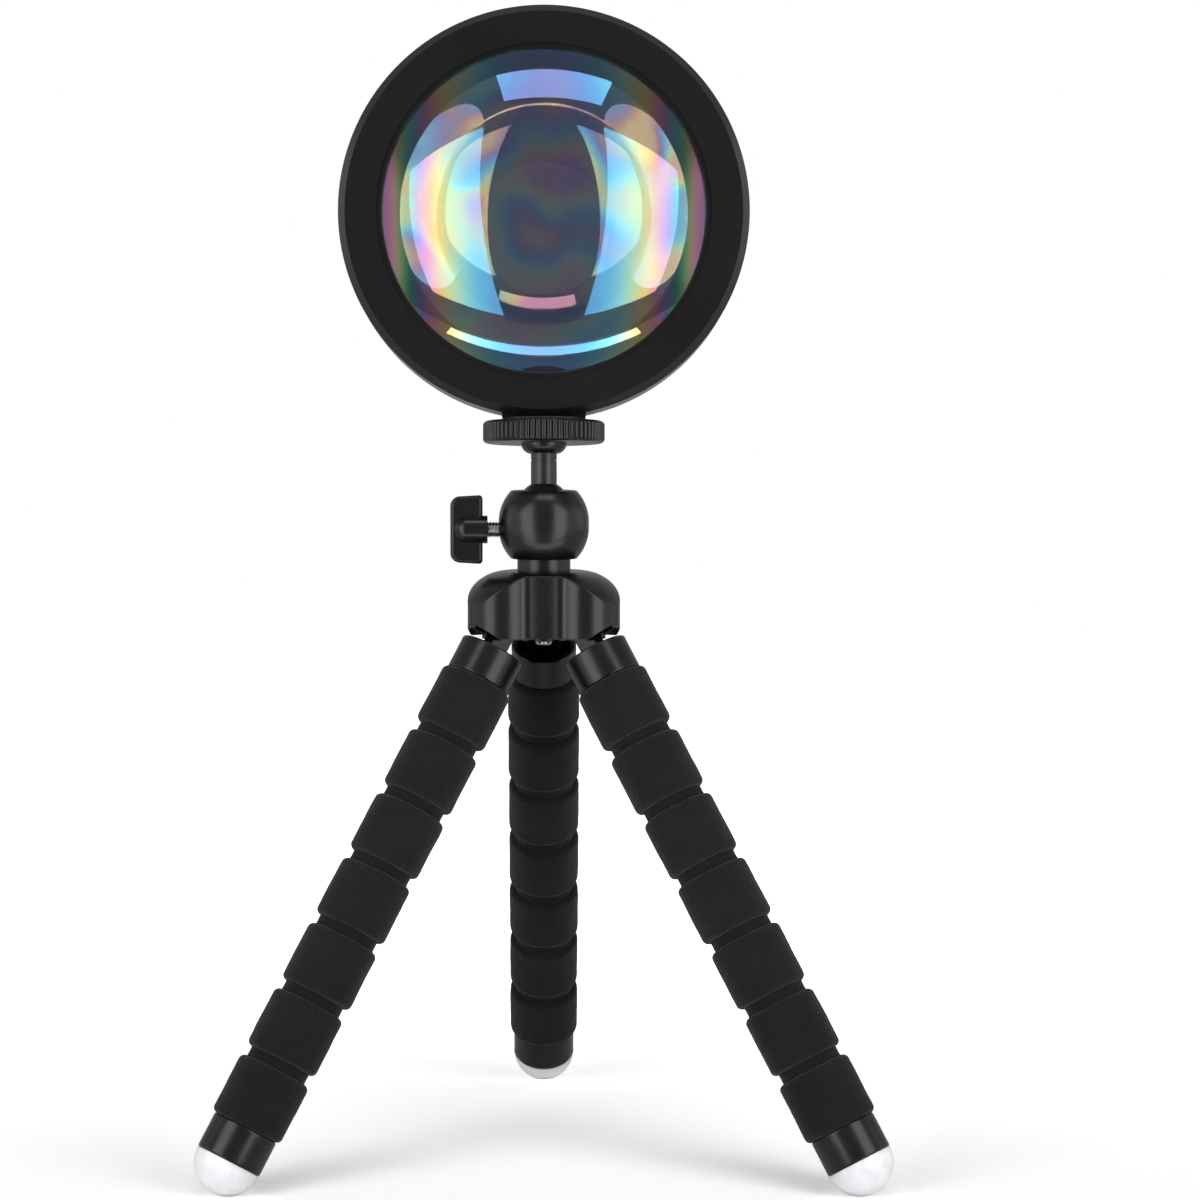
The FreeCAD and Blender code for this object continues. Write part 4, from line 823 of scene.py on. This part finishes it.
bpy.ops.object.select_all(action="DESELECT")
bpy.ops.mesh.primitive_plane_add(size=1.0)
screw = bpy.context.object
screw.name = "threaded_clamp_screw"
screw.data.name = screw.name
open_piece(screw)
pick(screw, "VERT", lambda corner: corner.co.x < 0 and corner.co.y < 0)
bpy.ops.mesh.delete(type="VERT")
shape = bmesh.from_edit_mesh(screw.data)
by_height = sorted(shape.verts, key=lambda corner: corner.co.y - corner.co.x)
for number, corner in enumerate(by_height):
    crest = THREAD_DEPTH if number == 1 else 0.0
    corner.co = (SCREW_RADIUS - THREAD_DEPTH + crest, 0.0, number * THREAD_PITCH / 2)
bmesh.update_edit_mesh(screw.data)
close_piece()
sweep = screw.modifiers.new("thread", "SCREW")
sweep.axis = "Z"
sweep.screw_offset = THREAD_PITCH
sweep.iterations = turns
sweep.steps = THREAD_STEPS
sweep.render_steps = THREAD_STEPS
apply_modifiers(screw)
open_piece(screw)
bpy.ops.mesh.select_all(action="SELECT")
bpy.ops.mesh.remove_doubles(threshold=THREAD_SEAM)
bpy.ops.mesh.select_all(action="DESELECT")
bpy.ops.mesh.select_mode(type="EDGE")
bpy.ops.mesh.select_non_manifold(extend=False)
bpy.ops.mesh.edge_face_add()
bpy.ops.mesh.select_all(action="SELECT")
bpy.ops.mesh.normals_make_consistent(inside=False)
close_piece()
screw.data.transform(Matrix.Translation(clamp_start + clamp_line * (screw_from + THREAD_PITCH / 2))
                     @ looking_along(clamp_line))
smooth(screw, angle=20.0)
dress(screw, finishes["steel"])
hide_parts("clamp_screw")
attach(screw, "clamp")
print("clamp screw of", turns, "turns")

# %% [markdown]
# ## The studio
#
# The dome mirrors the whole studio, so the lamps are where its reflections say that they were:
# two tall soft panels beside the camera, whose mirror images are the bright curved shapes left
# and right in the glass, a wide, shallow one overhead, and a narrow strip that lies on the
# table's front edge. The strip is the bright arc low in the glass. The places of the two tall
# panels follow from the slope of the dome at the corners of their mirror images.

# %% Two tall panels, one overhead and a low strip
PANEL_SIZE = (1.02, 1.40)
PANEL_OFFSET = Vector((0.864, -0.760, -0.041))    # from the lens, for the right panel
PANEL_FACING = Vector((0.083, 0.967, -0.241))
PANEL_RADIANCE = 3.9
TOP_SIZE = (0.70, 0.28)
TOP_OFFSET = Vector((0.07, -0.385, 0.92))
TOP_RADIANCE = 5.0
STRIP_SIZE = (0.44, 0.024)
STRIP_PLACE = Vector((0.0, -0.15, 0.002))         # on the front edge of the table
STRIP_RADIANCE = 8.0


def soft_panel(name, size, place, facing, radiance):
    """A rectangular lamp that gives each of its points the same brightness."""
    light = bpy.data.lights.new(name, "AREA")
    light.shape = "RECTANGLE"
    light.size, light.size_y = size
    light.energy = radiance * math.pi * size[0] * size[1]
    panel = bpy.data.objects.new(name, light)
    panel.matrix_world = (Matrix.Translation(place)
                          @ facing.to_track_quat("-Z", "Y").to_matrix().to_4x4())
    panel.visible_camera = False
    bpy.context.scene.collection.objects.link(panel)
    return panel


def mirrored(vector):
    """The same vector on the other side of the lamp."""
    return Vector((-vector.x, vector.y, vector.z))


soft_panel("panel_right", PANEL_SIZE, head_middle + PANEL_OFFSET, PANEL_FACING,
           PANEL_RADIANCE)
soft_panel("panel_left", PANEL_SIZE, head_middle + mirrored(PANEL_OFFSET),
           mirrored(PANEL_FACING), PANEL_RADIANCE)
soft_panel("panel_top", TOP_SIZE, head_middle + TOP_OFFSET, Vector((0.0, 0.0, -1.0)),
           TOP_RADIANCE)
soft_panel("strip_low", STRIP_SIZE, STRIP_PLACE, Vector((0.0, 0.0, 1.0)), STRIP_RADIANCE)

# %% [markdown]
# The background is white paper. In mirror images it is dimmer, because the lamps don't reach it,
# and for the light that falls on the lamp the room is only a faint fill, so blacks stay black.
# The front of the room, behind the camera, is a little darker still, and the dome shows it between
# its two panels. White boards on both sides are brighter: they give the colours at its edge.

# %% The room
FILL_LIGHT = 0.15
PAPER_IN_MIRRORS = 0.45
DARK_FRONT = 0.42
SIDE_BOARDS = 0.95

room = bpy.data.worlds.new("room")
bpy.context.scene.world = room
room.use_nodes = True
backdrop = room.node_tree.nodes["Background"]
ray = add_node(room, "ShaderNodeLightPath", {})
toward = add_node(room, "ShaderNodeSeparateXYZ",
                  {0: add_node(room, "ShaderNodeTexCoord", {}).outputs["Generated"]})
depth_of_room = add_node(room, "ShaderNodeMapRange", {
    "Value": toward.outputs["Y"], "From Min": -0.4, "From Max": 0.3,
    "To Min": DARK_FRONT, "To Max": PAPER_IN_MIRRORS,
}, interpolation_type="SMOOTHSTEP")
sideways = add_node(room, "ShaderNodeMath", {0: toward.outputs["X"]}, operation="ABSOLUTE")
boards = add_node(room, "ShaderNodeMapRange", {
    "Value": sideways, "From Min": 0.84, "From Max": 0.93, "To Max": SIDE_BOARDS,
}, interpolation_type="SMOOTHSTEP")
mirrored_room = add_node(room, "ShaderNodeMath", {0: depth_of_room, 1: boards})
mirrors = add_node(room, "ShaderNodeMath", {
    0: ray.outputs["Is Glossy Ray"], 1: ray.outputs["Is Transmission Ray"],
}, operation="MAXIMUM")
unseen = add_node(room, "ShaderNodeMix", {
    "Factor": mirrors, "A": FILL_LIGHT, "B": mirrored_room,
}, data_type="FLOAT")
strength = add_node(room, "ShaderNodeMix", {
    "Factor": ray.outputs["Is Camera Ray"], "A": unseen, "B": 1.0,
}, data_type="FLOAT")
fill_in(room, backdrop, {"Color": linear("ffffff"), "Strength": strength})

# %% [markdown]
# The floor is the same white paper, on a table whose front edge is close to the lamp. What the
# camera sees of it glows a little, and more towards its far edges, so that it melts into the
# background while the lamp's soft shadows stay on it.

# %% The floor
FLOOR_FRONT = -0.17
FLOOR_BACK = 1.6
FLOOR_WIDTH = 3.2
FLOOR_GLOW = (0.29, 1.0)        # under the lamp, and where the paper meets the background
GLOW_REACH = (-0.06, 0.30)      # from front to back
GLOW_ASIDE = (0.25, 0.80)       # towards both ends

bpy.ops.object.select_all(action="DESELECT")
bpy.ops.mesh.primitive_plane_add(size=1.0, location=(0.0, (FLOOR_FRONT + FLOOR_BACK) / 2, 0.0))
floor = bpy.context.object
floor.name = "paper_floor"
floor.scale = (FLOOR_WIDTH, FLOOR_BACK - FLOOR_FRONT, 1.0)
bpy.ops.object.transform_apply(location=True, rotation=False, scale=True)

paper, paper_shader, paper_place = new_finish("white_paper")
paper_ray = add_node(paper, "ShaderNodeLightPath", {})
paper_axes = add_node(paper, "ShaderNodeSeparateXYZ", {0: paper_place})
backward = add_node(paper, "ShaderNodeMapRange", {
    "Value": paper_axes.outputs["Y"], "From Min": GLOW_REACH[0], "From Max": GLOW_REACH[1],
}, interpolation_type="SMOOTHSTEP")
aside = add_node(paper, "ShaderNodeMapRange", {
    "Value": add_node(paper, "ShaderNodeMath", {0: paper_axes.outputs["X"]},
                      operation="ABSOLUTE"),
    "From Min": GLOW_ASIDE[0], "From Max": GLOW_ASIDE[1],
}, interpolation_type="SMOOTHSTEP")
far_off = add_node(paper, "ShaderNodeMath", {0: backward, 1: aside}, operation="MAXIMUM")
paper_glow = add_node(paper, "ShaderNodeMapRange", {
    "Value": far_off, "To Min": FLOOR_GLOW[0], "To Max": FLOOR_GLOW[1],
})
fill_in(paper, paper_shader, {
    "Base Color": linear("fafafb"),
    "Roughness": 0.9,
    "Specular IOR Level": 0.2,
    "Emission Color": linear("ffffff"),
    "Emission Strength": add_node(paper, "ShaderNodeMath", {
        0: paper_ray.outputs["Is Camera Ray"], 1: paper_glow,
    }, operation="MULTIPLY"),
})
floor.data.materials.append(paper)

# %% [markdown]
# ## Finish
#
# The picture is shown with the plain Standard curve, so a colour looks as it was written.

# %% Picture settings
bpy.context.scene.view_settings.view_transform = "Standard"
